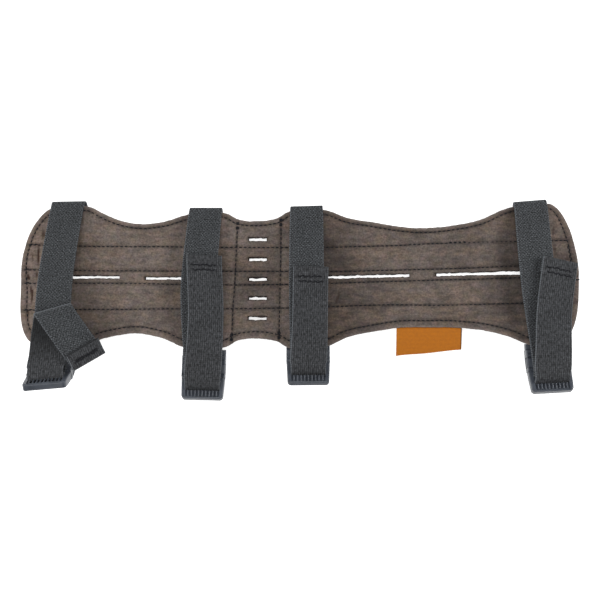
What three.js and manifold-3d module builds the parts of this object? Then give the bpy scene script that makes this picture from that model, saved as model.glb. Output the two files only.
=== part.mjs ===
// Long arm guard, lying on the table with its arm side up: two leather plies sewn together with
// slits cut through them, four elastic straps with fastened side-release buckles, and a label.
// Sizes are in millimetres. X runs along the guard, Y across it and Z up from the table.
import * as THREE from 'three';
import { mergeVertices } from 'three/addons/utils/BufferGeometryUtils.js';
import Module from 'manifold-3d';

const wasm = await Module();
wasm.setup();

// Leather plies. Places across the leather are measured from its long axis, upper side positive.
const AXIS_Y = 13.8;
const LEFT_TIP_X = -167.8;
const RIGHT_TIP_X = 167.8;
const PLY = 1.5;
const GAP = 0.3;
const PLIES = 2 * PLY + GAP;
const SEAM = PLY + GAP / 2;

// The middle lies flat on the table. The lower half rises from LOWER_BEND onto the buckles, and
// the upper margin rises a little from its seam.
const LOWER_BEND = -4;
const LOWER_BEND_LENGTH = 8;
const LOWER_SLOPE = 0.222;
const UPPER_BEND = 18.6;
const UPPER_SLOPE = 0.085;

// Raised channels between the lengthwise seams, on both sides of the strip that holds the slits.
const CHANNEL_INNER = 4;
const CHANNEL_OUTER = 18.6;
const CHANNEL_RISE = 0.9;
const CHANNEL_DRIFT = { from: 20, slope: 0.024 };
const FLEX_MIDDLE_X = -25.4;
const FLEX_HALF = 13.6;

// The wavy edges: a lobe at each strap, a waist between straps.
const EDGE = [
  { x: -140.4, upper: 43.2, lower: 42.9 },
  { x: -126.0, upper: 41.7, lower: 40.5 },
  { x: -118.8, upper: 37.8, lower: 37.4 },
  { x: -108.0, upper: 33.9, lower: 34.2 },
  { x: -95.4, upper: 31.8, lower: 33.5 },
  { x: -81.0, upper: 33.3, lower: 36.6 },
  { x: -70.2, upper: 36.6, lower: 41.4 },
  { x: -57.0, upper: 39.6, lower: 43.6 },
  { x: -43.2, upper: 37.8, lower: 40.8 },
  { x: -37.2, upper: 34.5, lower: 37.5 },
  { x: -25.8, upper: 33.5, lower: 36.2 },
  { x: -13.8, upper: 34.8, lower: 38.1 },
  { x: -7.2, upper: 39.4, lower: 42.0 },
  { x: 4.2, upper: 40.9, lower: 43.8 },
  { x: 16.8, upper: 39.3, lower: 40.8 },
  { x: 28.8, upper: 35.4, lower: 35.4 },
  { x: 43.2, upper: 33.0, lower: 32.4 },
  { x: 60.0, upper: 30.3, lower: 30.3 },
  { x: 74.4, upper: 29.4, lower: 29.8 },
  { x: 91.2, upper: 30.9, lower: 29.8 },
  { x: 108.0, upper: 34.5, lower: 30.9 },
  { x: 122.4, upper: 40.2, lower: 34.2 },
  { x: 133.2, upper: 42.7, lower: 39.0 },
  { x: 141.6, upper: 43.1, lower: 42.4 },
];
// Each end is a rounded quarter curve per side: 2 is an ellipse, more is squarer.
const LEFT_END = { upper: 2, lower: 4 };
const RIGHT_END = { upper: 2.2, lower: 2.4 };
const END_STEPS = [0.3, 0.55, 0.74, 0.87, 0.95, 0.985, 0.9985];
const LONGEST_STEP = 11.5;
const COLUMNS = [-18.6, -12, -8.5, -4, 4, 9, 14, 18.6];
const COLUMN_SPAN = 22;

// Slits cut through both plies: long ones along the middle strip, short ones in the flex panel.
const LONG_SLIT = { tall: 1.7, spans: [[-144, -108.6], [-93.6, -58], [10, 66], [80.4, 140]] };
const SHORT_SLIT = { tall: 2.1, from: -31.2, to: -19.8, across: [22.8, 10.8, -1.2, -12.6, -24.6] };

// Elastic straps, stretched a little narrower at the sewn end than at the free end.
const STRAP_WIDTH = { sewn: 19.4, free: 20.8 };
const STRAP = 1.2;
const POCKET_WIDTH = { sewn: 20.2, free: 20.2 };
const ROOT_LENGTH = 10;
const FOLD_RADIUS = 1.45;
const FOLD_TURN = 172;
const FOLD_INSET = 0.05;
const HEM_LENGTH = 8.5;
const HEM_RADIUS = 0.76;
const EDGE_CLEARANCE = 1.6;

// Side-release buckles, curved to the arm. Places run along the buckle from the joint of its two
// halves: positive toward the ladder bar, negative toward the bar that the tab holds. Height is
// measured from the outer face.
const CURVE_RADIUS = 60;
const PLUG = {
  half: 12.6, endHalf: 11.9, low: 0.6, high: 5.4, rail: 1.8, length: 13.2,
  block: 2.4, middleFrom: 4.6, middleTo: 6.8, middleLow: 2.1, middleHigh: 3.7,
  ladderFrom: 9, ladderHigh: 4.8,
};
const TEETH = { count: 9, pitch: 2.2, wide: 1, high: 0.5, from: 9.3, to: 12.2 };
const PRONG = { inner: 6.6, outer: 8.8, low: 1.9, high: 4.3, reach: 10.4, earFrom: 4.4, earTo: 8.4 };
const EAR_HALF = 12.2;
const GUIDE = { half: 1.2, reach: 8 };
const SOCKET = {
  half: 12.8, high: 6.2, skin: 1.4, mouth: 0.3, end: 18, windowFrom: 2.6, windowTo: 9.2,
  wallFrom: 11.6, wallTo: 13, barFrom: 15.8, barLow: 2, barHigh: 4.2, armLow: 1, armHigh: 5,
};
// The strap's heights in the buckle: over the joint, into the first gap, round the middle bar, out
// of the second gap and back over the buckle.
const THREADED = {
  over: 7.6, enter: 6.3, inGap: 4.6, round: 2.9, leave: 4.8, out: 7.2, back: 9.3, top: 10.6,
};
const TAB = { width: { sewn: 20, free: 20 }, thick: 1, wrap: 2.3, eye: 1.8, under: 9, layer: 1.35 };

// One row per strap: the fold at the upper edge, the main run, the buckle and the free tail.
const STRAPS = [
  {
    number: 1, x: -137.6, tilt: 2.8, lean: -11, middle: { x: -143.4, y: 14, z: 15.4 },
    buckle: { x: -144.7, y: -47, z: 21, yaw: 3.8, pitch: 66 },
    tail: { x: -143.2, y: -7.8, rise: 3.6, tilt: 15.6, bow: -144.6 },
    flap: { approach: 83.5, heading: -54, length: 35, droop: 1.6 },
  },
  {
    number: 2, x: -56.1, tilt: 0, lean: -4, middle: { x: -60, y: 6, z: 12.9 },
    buckle: { x: -57.8, y: -47.26, z: 1.99, yaw: -2, pitch: 15 },
    tail: { x: -56.4, y: 25.2, rise: 3.3, tilt: -2.6, bow: -55.2 },
  },
  {
    number: 3, x: 4, tilt: 1.9, lean: 0, middle: { x: 3.9, y: 6, z: 12.9 },
    buckle: { x: 4.8, y: -39.6, z: 3.35, yaw: 3, pitch: 20 },
    tail: { x: 6.3, y: 18.5, rise: 3.3, tilt: -1.7, bow: 5.9 },
  },
  {
    number: 4, x: 137.4, tilt: 5.4, lean: 6, middle: { x: 142, y: 5, z: 12.9 },
    buckle: { x: 148.7, y: -42.7, z: 1.99, yaw: 5.5, pitch: 15 },
    tail: { x: 153.3, y: 22.6, rise: 3.3, tilt: -12.5, bow: 149.9 },
  },
];

// Label sewn into the lower seam.
const LABEL = {
  from: 57.9, to: 96, thick: 0.7, inside: 4, leftOut: 15.6, rightOut: 12.4, wave: 0.5, drop: 2.6,
};

const { lerp, clamp, degToRad, smoothstep } = THREE.MathUtils;
const point = (x, y, z) => new THREE.Vector3(x, y, z);
const flatHeading = (degrees) => point(Math.cos(degToRad(degrees)), Math.sin(degToRad(degrees)), 0);

// A closed block of cells whose corners are moved by place(a, b, c), each from 0 to 1.
function bentBlock(cells, place) {
  const box = new THREE.BoxGeometry(1, 1, 1, ...cells);
  box.deleteAttribute('normal');
  box.deleteAttribute('uv');
  const block = mergeVertices(box, 1e-6);
  const corners = block.attributes.position;
  for (let i = 0; i < corners.count; i += 1) {
    const spot = place(corners.getX(i) + 0.5, corners.getY(i) + 0.5, corners.getZ(i) + 0.5);
    corners.setXYZ(i, spot.x, spot.y, spot.z);
  }
  return block;
}

function solid(geometry) {
  return new wasm.Manifold(new wasm.Mesh({
    numProp: 3,
    vertProperties: geometry.attributes.position.array,
    triVerts: new Uint32Array(geometry.index.array),
  }));
}

function geometryOf(body) {
  const made = body.getMesh();
  const geometry = new THREE.BufferGeometry();
  geometry.setAttribute('position', new THREE.BufferAttribute(made.vertProperties, 3));
  geometry.setIndex(new THREE.BufferAttribute(made.triVerts, 1));
  return geometry;
}

// Smooth value of one column of a table at x.
function smoothColumn(rows, column, x) {
  const last = rows.length - 1;
  const i = clamp(rows.findIndex((row) => row.x > x) - 1, 0, last - 1);
  const slopeAt = (k) => {
    const before = rows[Math.max(k - 1, 0)];
    const after = rows[Math.min(k + 1, last)];
    return (after[column] - before[column]) / (after.x - before.x);
  };
  const span = rows[i + 1].x - rows[i].x;
  const t = (x - rows[i].x) / span;
  const ease = t * t * (3 - 2 * t);
  const leave = slopeAt(i) * span * t * (1 - t) * (1 - t);
  const arrive = slopeAt(i + 1) * span * t * t * (1 - t);
  return lerp(rows[i][column], rows[i + 1][column], ease) + leave - arrive;
}

// Distance from the long axis to the upper or the lower edge.
function edgeAt(side, x) {
  const first = EDGE[0];
  const last = EDGE[EDGE.length - 1];
  if (x >= first.x && x < last.x) {
    return smoothColumn(EDGE, side, x);
  }
  const left = x < first.x;
  const lobe = left ? first : last;
  const power = (left ? LEFT_END : RIGHT_END)[side];
  const share = (x - lobe.x) / ((left ? LEFT_TIP_X : RIGHT_TIP_X) - lobe.x);
  return lobe[side] * (1 - share ** power) ** (1 / power);
}

// Height of the guard's underside.
function lift(across) {
  const low = LOWER_BEND - across;
  if (low <= 0) {
    return UPPER_SLOPE * Math.max(across - UPPER_BEND, 0);
  }
  const bend = Math.min(low, LOWER_BEND_LENGTH);
  return LOWER_SLOPE * (bend * bend / (2 * LOWER_BEND_LENGTH) + low - bend);
}

function drift(x) {
  return Math.max(x - CHANNEL_DRIFT.from, 0) * CHANNEL_DRIFT.slope;
}

function channelRise(x, across) {
  const inset = Math.abs(across - drift(x));
  if (inset <= CHANNEL_INNER || inset >= CHANNEL_OUTER) {
    return 0;
  }
  const round = Math.sin(Math.PI * (inset - CHANNEL_INNER) / (CHANNEL_OUTER - CHANNEL_INNER));
  const flex = smoothstep(Math.abs(x - FLEX_MIDDLE_X), FLEX_HALF - 1, FLEX_HALF + 4);
  const ends = smoothstep(Math.min(x - LEFT_TIP_X, RIGHT_TIP_X - x), 3, 14);
  return CHANNEL_RISE * round * flex * ends;
}

const stations = [
  ...END_STEPS.toReversed().map((t) => lerp(EDGE[0].x, LEFT_TIP_X, t)),
  ...EDGE.flatMap((row, i) => {
    const next = EDGE[i + 1];
    return next && next.x - row.x > LONGEST_STEP ? [row.x, lerp(row.x, next.x, 0.5)] : [row.x];
  }),
  ...END_STEPS.map((t) => lerp(EDGE[EDGE.length - 1].x, RIGHT_TIP_X, t)),
];

// One leather ply between two heights over the underside, with the channels raised on its top.
function ply(under, over, raised) {
  const acrossAt = (b, x) => {
    const k = Math.round(b * (COLUMNS.length + 1));
    if (k === 0) {
      return -edgeAt('lower', x);
    }
    if (k === COLUMNS.length + 1) {
      return edgeAt('upper', x);
    }
    const edge = edgeAt(COLUMNS[k - 1] < 0 ? 'lower' : 'upper', x);
    return COLUMNS[k - 1] * Math.min(1, edge / COLUMN_SPAN);
  };
  return solid(bentBlock([stations.length - 1, COLUMNS.length + 1, 1], (a, b, c) => {
    const x = stations[Math.round(a * (stations.length - 1))];
    const across = acrossAt(b, x);
    const rise = raised ? channelRise(x, across) : 0;
    return point(x, AXIS_Y + across, lift(across) + (c < 0.5 ? under : over + rise));
  }));
}

function slitCutter(from, to, across, tall) {
  return solid(bentBlock([1, 1, 1], (a, b, c) => {
    const x = lerp(from, to, a);
    return point(x, AXIS_Y + across + drift(x) + tall * (b - 0.5), lerp(-5, 25, c));
  }));
}

// A flat strap along rows of {at, rule}: at is its middle, rule the direction across it.
function ribbon(rows, width, thick) {
  const last = rows.length - 1;
  return bentBlock([last, 1, 1], (a, b, c) => {
    const i = Math.round(a * last);
    const along = rows[Math.min(i + 1, last)].at.clone().sub(rows[Math.max(i - 1, 0)].at).normalize();
    const face = along.clone().cross(rows[i].rule);
    const half = lerp(width.sewn, width.free, a) / 2 / face.length();
    return rows[i].at.clone()
      .addScaledVector(rows[i].rule, half * (2 * b - 1))
      .addScaledVector(face.normalize(), thick * (c - 0.5));
  });
}

// Rows of a strap that turns about an axis toward one side.
function turnRows(from, heading, axis, toward, radius, degrees, steps) {
  const ahead = heading.clone().addScaledVector(axis, -heading.dot(axis));
  const slip = heading.dot(axis) / ahead.length();
  ahead.normalize();
  const rows = [];
  for (let i = 1; i <= steps; i += 1) {
    const turn = degToRad(degrees) * i / steps;
    const at = from.clone()
      .addScaledVector(ahead, radius * Math.sin(turn))
      .addScaledVector(toward, radius * (1 - Math.cos(turn)))
      .addScaledVector(axis, slip * radius * turn);
    rows.push({ at, rule: axis });
  }
  return rows;
}

// Rows along a smooth curve through the places, from the second to the last but one.
function runRows(places, steps, firstRule, lastRule) {
  const curve = new THREE.CatmullRomCurve3(places);
  const spans = places.length - 1;
  const count = steps * (spans - 2);
  const rows = [];
  for (let i = 1; i <= count; i += 1) {
    const at = curve.getPoint((1 + i / steps) / spans);
    rows.push({ at, rule: firstRule.clone().lerp(lastRule, i / count).normalize() });
  }
  return rows;
}

function heightOver(rows, y) {
  const i = clamp(rows.findIndex((row) => row.at.y < y), 1, rows.length - 1);
  const share = (y - rows[i - 1].at.y) / (rows[i].at.y - rows[i - 1].at.y);
  return lerp(rows[i - 1].at.z, rows[i].at.z, share);
}

// World place of a spot in a buckle: sideways, along from the joint, height from the outer face.
function inBuckle(buckle, sideways, along, height) {
  const pitch = degToRad(buckle.pitch) + along / CURVE_RADIUS;
  const joint = degToRad(buckle.pitch);
  const out = CURVE_RADIUS * (Math.sin(pitch) - Math.sin(joint)) - height * Math.sin(pitch);
  const rise = CURVE_RADIUS * (Math.cos(joint) - Math.cos(pitch)) + height * Math.cos(pitch);
  return point(buckle.x, buckle.y, buckle.z + rise)
    .addScaledVector(flatHeading(buckle.yaw), sideways)
    .addScaledVector(flatHeading(buckle.yaw - 90), out);
}

// A curved bar of a buckle. Its sides may draw in toward the ladder end.
function buckleBar(buckle, sides, along, heights, draw = 0) {
  const cells = Math.max(1, Math.round(Math.abs(along[1] - along[0]) / 5));
  return solid(bentBlock([1, cells, 1], (a, b, c) => {
    const place = lerp(along[1], along[0], b);
    const narrow = 1 - draw * clamp(place / PLUG.length, 0, 1);
    return inBuckle(buckle, lerp(sides[0], sides[1], a) * narrow, place, lerp(heights[0], heights[1], c));
  }));
}

const joined = (bodies) => bodies.reduce((whole, next) => whole.add(next));
const mirrored = (from, to) => [[from, to], [-to, -from]];

function plug(buckle) {
  const draw = 1 - PLUG.endHalf / PLUG.half;
  const heights = [PLUG.low, PLUG.high];
  const bar = (half, from, to, low, high) => {
    return buckleBar(buckle, [-half, half], [from, to], [low, high], draw);
  };
  const bodies = [
    bar(PLUG.half, 0, PLUG.block, PLUG.low - 0.3, PLUG.high),
    bar(PLUG.half - 0.6, PLUG.middleFrom, PLUG.middleTo, PLUG.middleLow, PLUG.middleHigh),
    bar(PLUG.half - 0.3, PLUG.ladderFrom, PLUG.length, PLUG.low, PLUG.ladderHigh),
    bar(GUIDE.half, -GUIDE.reach, 0.5, PRONG.low, PRONG.high),
  ];
  for (const sides of mirrored(PLUG.half - PLUG.rail, PLUG.half)) {
    bodies.push(buckleBar(buckle, sides, [PLUG.block - 0.5, PLUG.length - 0.6], heights, draw));
  }
  for (const sides of mirrored(PRONG.inner, PRONG.outer)) {
    bodies.push(buckleBar(buckle, sides, [-PRONG.reach, 0.5], [PRONG.low, PRONG.high]));
  }
  for (const sides of mirrored(PRONG.outer - 0.4, EAR_HALF)) {
    bodies.push(buckleBar(buckle, sides, [-PRONG.earTo, -PRONG.earFrom], [PRONG.low, PRONG.high]));
  }
  for (let i = 0; i < TEETH.count; i += 1) {
    const middle = (i - (TEETH.count - 1) / 2) * TEETH.pitch;
    const sides = [middle - TEETH.wide / 2, middle + TEETH.wide / 2];
    const top = [PLUG.ladderHigh - 0.4, PLUG.ladderHigh + TEETH.high];
    bodies.push(buckleBar(buckle, sides, [TEETH.from, TEETH.to], top, draw));
  }
  return geometryOf(joined(bodies));
}

function socket(buckle) {
  const { half, high, skin, mouth, end } = SOCKET;
  const wide = [-half, half];
  const wall = [skin / 2, high - skin / 2];
  const bodies = [
    buckleBar(buckle, wide, [-SOCKET.wallTo, -mouth], [0, skin]),
    buckleBar(buckle, wide, [-SOCKET.wallTo, -mouth], [high - skin, high]),
    buckleBar(buckle, wide, [-SOCKET.wallTo, -SOCKET.wallFrom], wall),
    buckleBar(buckle, wide, [-end, -SOCKET.barFrom], [SOCKET.barLow, SOCKET.barHigh]),
  ];
  for (const sides of mirrored(half - skin, half)) {
    bodies.push(buckleBar(buckle, sides, [-SOCKET.windowFrom, -mouth], wall));
    bodies.push(buckleBar(buckle, sides, [-SOCKET.wallTo, -SOCKET.windowTo], wall));
  }
  for (const sides of mirrored(half - PLUG.rail, half)) {
    bodies.push(buckleBar(buckle, sides, [-end, -SOCKET.wallFrom - 0.5], [SOCKET.armLow, SOCKET.armHigh]));
  }
  return geometryOf(joined(bodies));
}

// The short webbing loop: along the underside of the lower lobe, round the socket's bar and back.
function tab(buckle) {
  const rule = flatHeading(buckle.yaw);
  const inward = flatHeading(buckle.yaw + 90);
  const along = -(SOCKET.end + SOCKET.barFrom) / 2;
  const middle = (SOCKET.barLow + SOCKET.barHigh) / 2;
  const bar = inBuckle(buckle, 0, along, middle);
  const edgeY = AXIS_Y - edgeAt('lower', buckle.x);
  const reach = (edgeY - bar.y) / inward.y;
  const slack = GAP + LOWER_SLOPE * Math.abs(rule.y) * TAB.width.sewn / 2;
  const underLeather = (distance, layer) => {
    const at = bar.clone().addScaledVector(inward, distance);
    const top = lift(Math.max(at.y, edgeY) - AXIS_Y) - slack - TAB.thick / 2;
    return { at: at.setZ(top - layer * TAB.layer), rule };
  };
  const near = Math.max(reach - 1, TAB.eye + 3);
  const starts = [near + 1 + TAB.under, near];
  const inSlot = (place, height) => ({ at: inBuckle(buckle, 0, along + place, middle + height), rule });
  const wrap = [inSlot(-TAB.eye, TAB.wrap)];
  for (let i = 0; i <= 6; i += 1) {
    const turn = Math.PI * i / 6;
    wrap.push(inSlot(TAB.wrap * Math.sin(turn), TAB.wrap * Math.cos(turn)));
  }
  wrap.push(inSlot(-TAB.eye, -TAB.wrap));
  const rows = [
    underLeather(starts[0], 0), underLeather(starts[1], 0), ...wrap,
    underLeather(starts[1], 1), underLeather(starts[0], 1),
  ];
  return ribbon(rows, TAB.width, TAB.thick);
}

// Rows of the strap's end between the plies, out to the edge.
function rootRows(strap, extra) {
  const axis = flatHeading(strap.tilt);
  const square = flatHeading(strap.tilt + 90);
  const run = flatHeading(strap.lean - 90);
  const out = run.clone().addScaledVector(square, -2 * run.dot(square));
  const crest = [-0.5, -0.25, 0, 0.25, 0.5].map((share) => {
    const side = share * STRAP_WIDTH.sewn;
    return edgeAt('upper', strap.x + side) - side * Math.tan(degToRad(strap.tilt));
  });
  const exit = point(strap.x, AXIS_Y + Math.max(...crest) - FOLD_INSET, 0);
  return [-ROOT_LENGTH - extra, -ROOT_LENGTH / 2, extra * 6].map((distance) => {
    const at = exit.clone().addScaledVector(out, distance);
    return { at: at.setZ(lift(at.y - AXIS_Y) + SEAM), rule: axis };
  });
}

// Rows through the buckle: into the first gap, round the middle bar and out of the second gap.
function buckleRows(buckle) {
  const rule = flatHeading(buckle.yaw);
  const centre = (PLUG.middleFrom + PLUG.middleTo) / 2;
  const radius = (PLUG.ladderFrom - PLUG.block) / 3;
  const spots = [[centre - radius - 0.4, THREADED.enter], [centre - radius, THREADED.inGap]];
  for (let i = 0; i <= 6; i += 1) {
    const turn = Math.PI * i / 6;
    spots.push([centre - radius * Math.cos(turn), THREADED.round - radius * Math.sin(turn)]);
  }
  spots.push([centre + radius, THREADED.leave]);
  spots.push([centre + radius - 0.4, THREADED.out]);
  spots.push([centre + radius - 1.8, THREADED.back]);
  return spots.map(([along, height]) => ({ at: inBuckle(buckle, 0, along, height), rule }));
}

function strapGeometry(strap) {
  const { buckle, tail, flap } = strap;
  const topRule = flatHeading(strap.tilt);
  const buckleRule = flatHeading(buckle.yaw);
  const rows = rootRows(strap, 0);
  const rootEnd = rows[2].at;
  const leave = rootEnd.clone().sub(rows[1].at).normalize();
  const upward = topRule.clone().cross(leave).normalize();
  rows.push(...turnRows(rootEnd, leave, topRule, upward, FOLD_RADIUS, FOLD_TURN, 6));

  // Main run, from the fold across the arm side and over the lower edge to the buckle.
  const through = buckleRows(buckle);
  const edge = -edgeAt('lower', buckle.x);
  const over = point(lerp(strap.middle.x, buckle.x, 0.7), AXIS_Y + edge, 0);
  over.z = Math.max(lift(edge) + PLIES + EDGE_CLEARANCE, lerp(strap.middle.z, through[0].at.z, 0.72));
  const block = inBuckle(buckle, 0, 0.6, THREADED.over);
  const fold = rows.slice(-2).map((row) => row.at);
  const middle = point(strap.middle.x, strap.middle.y, strap.middle.z);
  const run = runRows([...fold, middle, over, block, through[0].at], 5, topRule, buckleRule);
  rows.push(...run, ...through);

  // Tail, over the main run.
  const tailRule = flatHeading(tail.tilt);
  const square = flatHeading(flap ? flap.approach : tail.tilt + 90);
  const above = (x, y, rise) => point(x, y, heightOver(run, y) + rise);
  const turned = inBuckle(buckle, 0, 3.2, THREADED.top);
  const end = above(tail.x, tail.y, tail.rise);
  const half = above(tail.bow, lerp(turned.y, tail.y, 0.55), tail.rise - 0.6);
  const near = above(lerp(turned.x, tail.bow, 0.5), lerp(turned.y, tail.y, 0.2), tail.rise - 0.6);
  const beyond = end.clone().addScaledVector(square, 6);
  const tailPlaces = [through[through.length - 1].at, turned, near, half, end, beyond];
  rows.push({ at: turned, rule: buckleRule });
  rows.push(...runRows(tailPlaces, 4, buckleRule, tailRule));
  let heading = end.clone().sub(rows[rows.length - 2].at).normalize();
  if (flap) {
    rows.push(...flapRows(end, heading, tailRule, flap));
    heading = rows[rows.length - 1].at.clone().sub(rows[rows.length - 2].at).normalize();
  }

  // Hem folded to the face that lies against the arm in the main run.
  const last = rows[rows.length - 1];
  const face = heading.clone().cross(last.rule).normalize();
  rows.push(...turnRows(last.at, heading, last.rule, face, HEM_RADIUS, 180, 5));
  const hemStart = rows[rows.length - 1].at;
  rows.push({ at: hemStart.clone().addScaledVector(heading, -HEM_LENGTH), rule: last.rule });
  return ribbon(rows, STRAP_WIDTH, STRAP);
}

// The tail of strap 1 turns over on a slanting line and its end points down to the right.
function flapRows(from, heading, axis, flap) {
  const toward = axis.clone().cross(heading).normalize();
  const rows = turnRows(from, heading, axis, toward, FOLD_RADIUS, 180, 6);
  const start = rows[rows.length - 1].at;
  const out = flatHeading(flap.heading);
  const square = flatHeading(flap.heading + 90);
  for (let i = 1; i <= 4; i += 1) {
    const share = i / 4;
    const at = start.clone().addScaledVector(out, flap.length * share);
    at.z += flap.droop * Math.sin(Math.PI * 0.75 * share);
    rows.push({ at, rule: axis.clone().lerp(square, Math.min(1, share * 2)).normalize() });
  }
  return rows;
}

function labelGeometry(grow) {
  const outAt = (a) => lerp(LABEL.leftOut, LABEL.rightOut, a) + LABEL.wave * Math.sin(2 * Math.PI * a);
  return bentBlock([6, 5, 1], (a, b, c) => {
    const x = lerp(LABEL.from - grow, LABEL.to + grow, a);
    const edge = edgeAt('lower', x);
    const out = lerp(outAt(a), -LABEL.inside - grow, b);
    const hang = clamp(out / LABEL.leftOut, 0, 1);
    const seam = lift(-edge - Math.min(out, 0)) + SEAM;
    const height = seam - LABEL.drop * hang * (1 + hang) / 2;
    return point(x, AXIS_Y - edge - out, height + (LABEL.thick + 2 * grow) * (c - 0.5));
  });
}

// Colours are those of the real piece.
const SUEDE = { color: '#63564e', roughness: 0.95 };
const OUTER_SUEDE = { color: '#5a4d45', roughness: 0.95 };
const ELASTIC = { color: '#3b3e42', roughness: 0.9 };
const PLASTIC = { color: '#17181a', roughness: 0.45 };
const WOVEN = { color: '#c4823a', roughness: 0.85 };

const group = new THREE.Group();

function addPiece(name, geometry, look) {
  const material = new THREE.MeshStandardMaterial({ ...look, metalness: 0 });
  const mesh = new THREE.Mesh(geometry, material);
  mesh.name = name;
  group.add(mesh);
}

// Slits, and the places where strap ends and the label lie between the plies.
const cuts = [
  ...LONG_SLIT.spans.map(([from, to]) => slitCutter(from, to, 0, LONG_SLIT.tall)),
  ...SHORT_SLIT.across.map((across) => slitCutter(SHORT_SLIT.from, SHORT_SLIT.to, across, SHORT_SLIT.tall)),
  ...STRAPS.map((strap) => solid(ribbon(rootRows(strap, GAP), POCKET_WIDTH, STRAP + 2 * GAP))),
  solid(labelGeometry(GAP)),
];
const cutter = joined(cuts);
const outer = ply(0, PLY, false);
const armSide = ply(PLY + GAP, PLIES, true);
addPiece('outer_leather', geometryOf(outer.subtract(cutter)), OUTER_SUEDE);
addPiece('arm_side_leather', geometryOf(armSide.subtract(cutter)), SUEDE);
addPiece('label', labelGeometry(0), WOVEN);

for (const strap of STRAPS) {
  addPiece(`strap_${strap.number}`, strapGeometry(strap), ELASTIC);
  addPiece(`buckle_plug_${strap.number}`, plug(strap.buckle), PLASTIC);
  addPiece(`buckle_socket_${strap.number}`, socket(strap.buckle), PLASTIC);
  addPiece(`buckle_tab_${strap.number}`, tab(strap.buckle), ELASTIC);
}

export default group;
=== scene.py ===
"""Looks of a long arm guard: suede plies, stitching, elastic straps, buckles and label.

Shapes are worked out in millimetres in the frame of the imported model: X along the guard, Y across
it and Z up from the table. A finished piece is scaled to metres once, at its end.
"""

import math
from collections import namedtuple

import bmesh
import bpy
from bpy.props import FloatProperty, FloatVectorProperty, IntProperty, PointerProperty
from mathutils import Matrix, Vector, noise
from mathutils.kdtree import KDTree


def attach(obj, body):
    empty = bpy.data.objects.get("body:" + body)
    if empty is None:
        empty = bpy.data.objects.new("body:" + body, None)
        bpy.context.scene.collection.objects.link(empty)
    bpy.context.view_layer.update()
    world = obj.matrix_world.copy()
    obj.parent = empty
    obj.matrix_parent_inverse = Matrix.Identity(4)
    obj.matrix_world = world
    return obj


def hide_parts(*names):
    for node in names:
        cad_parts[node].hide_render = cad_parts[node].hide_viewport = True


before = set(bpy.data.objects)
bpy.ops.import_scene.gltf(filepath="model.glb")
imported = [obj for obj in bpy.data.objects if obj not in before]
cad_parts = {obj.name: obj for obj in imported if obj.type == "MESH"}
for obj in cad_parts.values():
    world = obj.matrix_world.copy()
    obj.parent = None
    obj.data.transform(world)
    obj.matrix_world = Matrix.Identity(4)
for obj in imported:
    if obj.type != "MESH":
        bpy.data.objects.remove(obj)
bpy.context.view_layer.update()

bl_info = {
    "name": "Arm guard looks",
    "version": (1, 0, 0),
    "blender": (4, 5, 0),
    "location": "View3D > Sidebar > Arm guard",
    "description": "Builds the suede, stitching, straps, buckles and label of a long arm guard",
    "category": "Object",
}

MM = 0.001
BODY = "root"

# The guard's outline, within about 2 mm of the solids. Places across are from the long axis, with
# the upper side positive.
AXIS_Y = 13.8
LEFT_TIP_X = -167.8
RIGHT_TIP_X = 167.8
TIP_TURN = 88.2
TIP_STEPS = 26
EdgeRow = namedtuple("EdgeRow", "x upper lower")
EDGE = [
    EdgeRow(-140.4, 43.4, 42.9),
    EdgeRow(-126.0, 42.1, 40.5),
    EdgeRow(-118.8, 38.4, 37.4),
    EdgeRow(-108.0, 33.9, 34.8),
    EdgeRow(-95.4, 31.8, 33.8),
    EdgeRow(-81.0, 33.3, 36.8),
    EdgeRow(-70.2, 36.6, 41.4),
    EdgeRow(-57.0, 39.6, 43.6),
    EdgeRow(-43.2, 37.8, 41.4),
    EdgeRow(-37.2, 34.5, 38.0),
    EdgeRow(-25.8, 33.5, 36.7),
    EdgeRow(-13.8, 35.2, 38.4),
    EdgeRow(-7.2, 39.1, 42.0),
    EdgeRow(4.2, 40.7, 43.8),
    EdgeRow(16.8, 39.7, 41.1),
    EdgeRow(28.8, 35.4, 35.8),
    EdgeRow(43.2, 33.0, 32.8),
    EdgeRow(60.0, 30.3, 30.3),
    EdgeRow(74.4, 29.4, 30.1),
    EdgeRow(91.2, 30.9, 30.2),
    EdgeRow(108.0, 34.3, 31.8),
    EdgeRow(122.4, 40.6, 35.0),
    EdgeRow(133.2, 43.2, 39.3),
    EdgeRow(141.6, 44.0, 42.4),
    EdgeRow(148.5, 44.0, 41.7),
]
LEFT_END = {"upper": 2.0, "lower": 3.6}
RIGHT_END = {"upper": 1.75, "lower": 2.25}

# Lift of the underside off the table, and the raised channels between the lengthwise seams.
CHANNEL_INNER = 4.0
CHANNEL_OUTER = 18.6
LOWER_BEND = -CHANNEL_INNER
LOWER_BEND_LENGTH = 8.0
LOWER_SLOPE = 0.222
UPPER_BEND = CHANNEL_OUTER
UPPER_SLOPE = 0.085
DRIFT_FROM = 20.0
DRIFT_SLOPE = 0.024
FLEX_MIDDLE_X = -25.4
FLEX_HALF = 13.6

# Rows of each ply's mesh, and its rounded edges.
INNER_SPAN = 26.6
INNER_ROOM = 1.6
OUTER_ROWS = 11
ROUNDING = [0.9, 0.5, 0.2, 0.0]
SHOWN_RADIUS = 0.45
HIDDEN_RADIUS = 0.2
OUTER_STEP = 1.5
ARM_SIDE_STEP = 1.15

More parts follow.
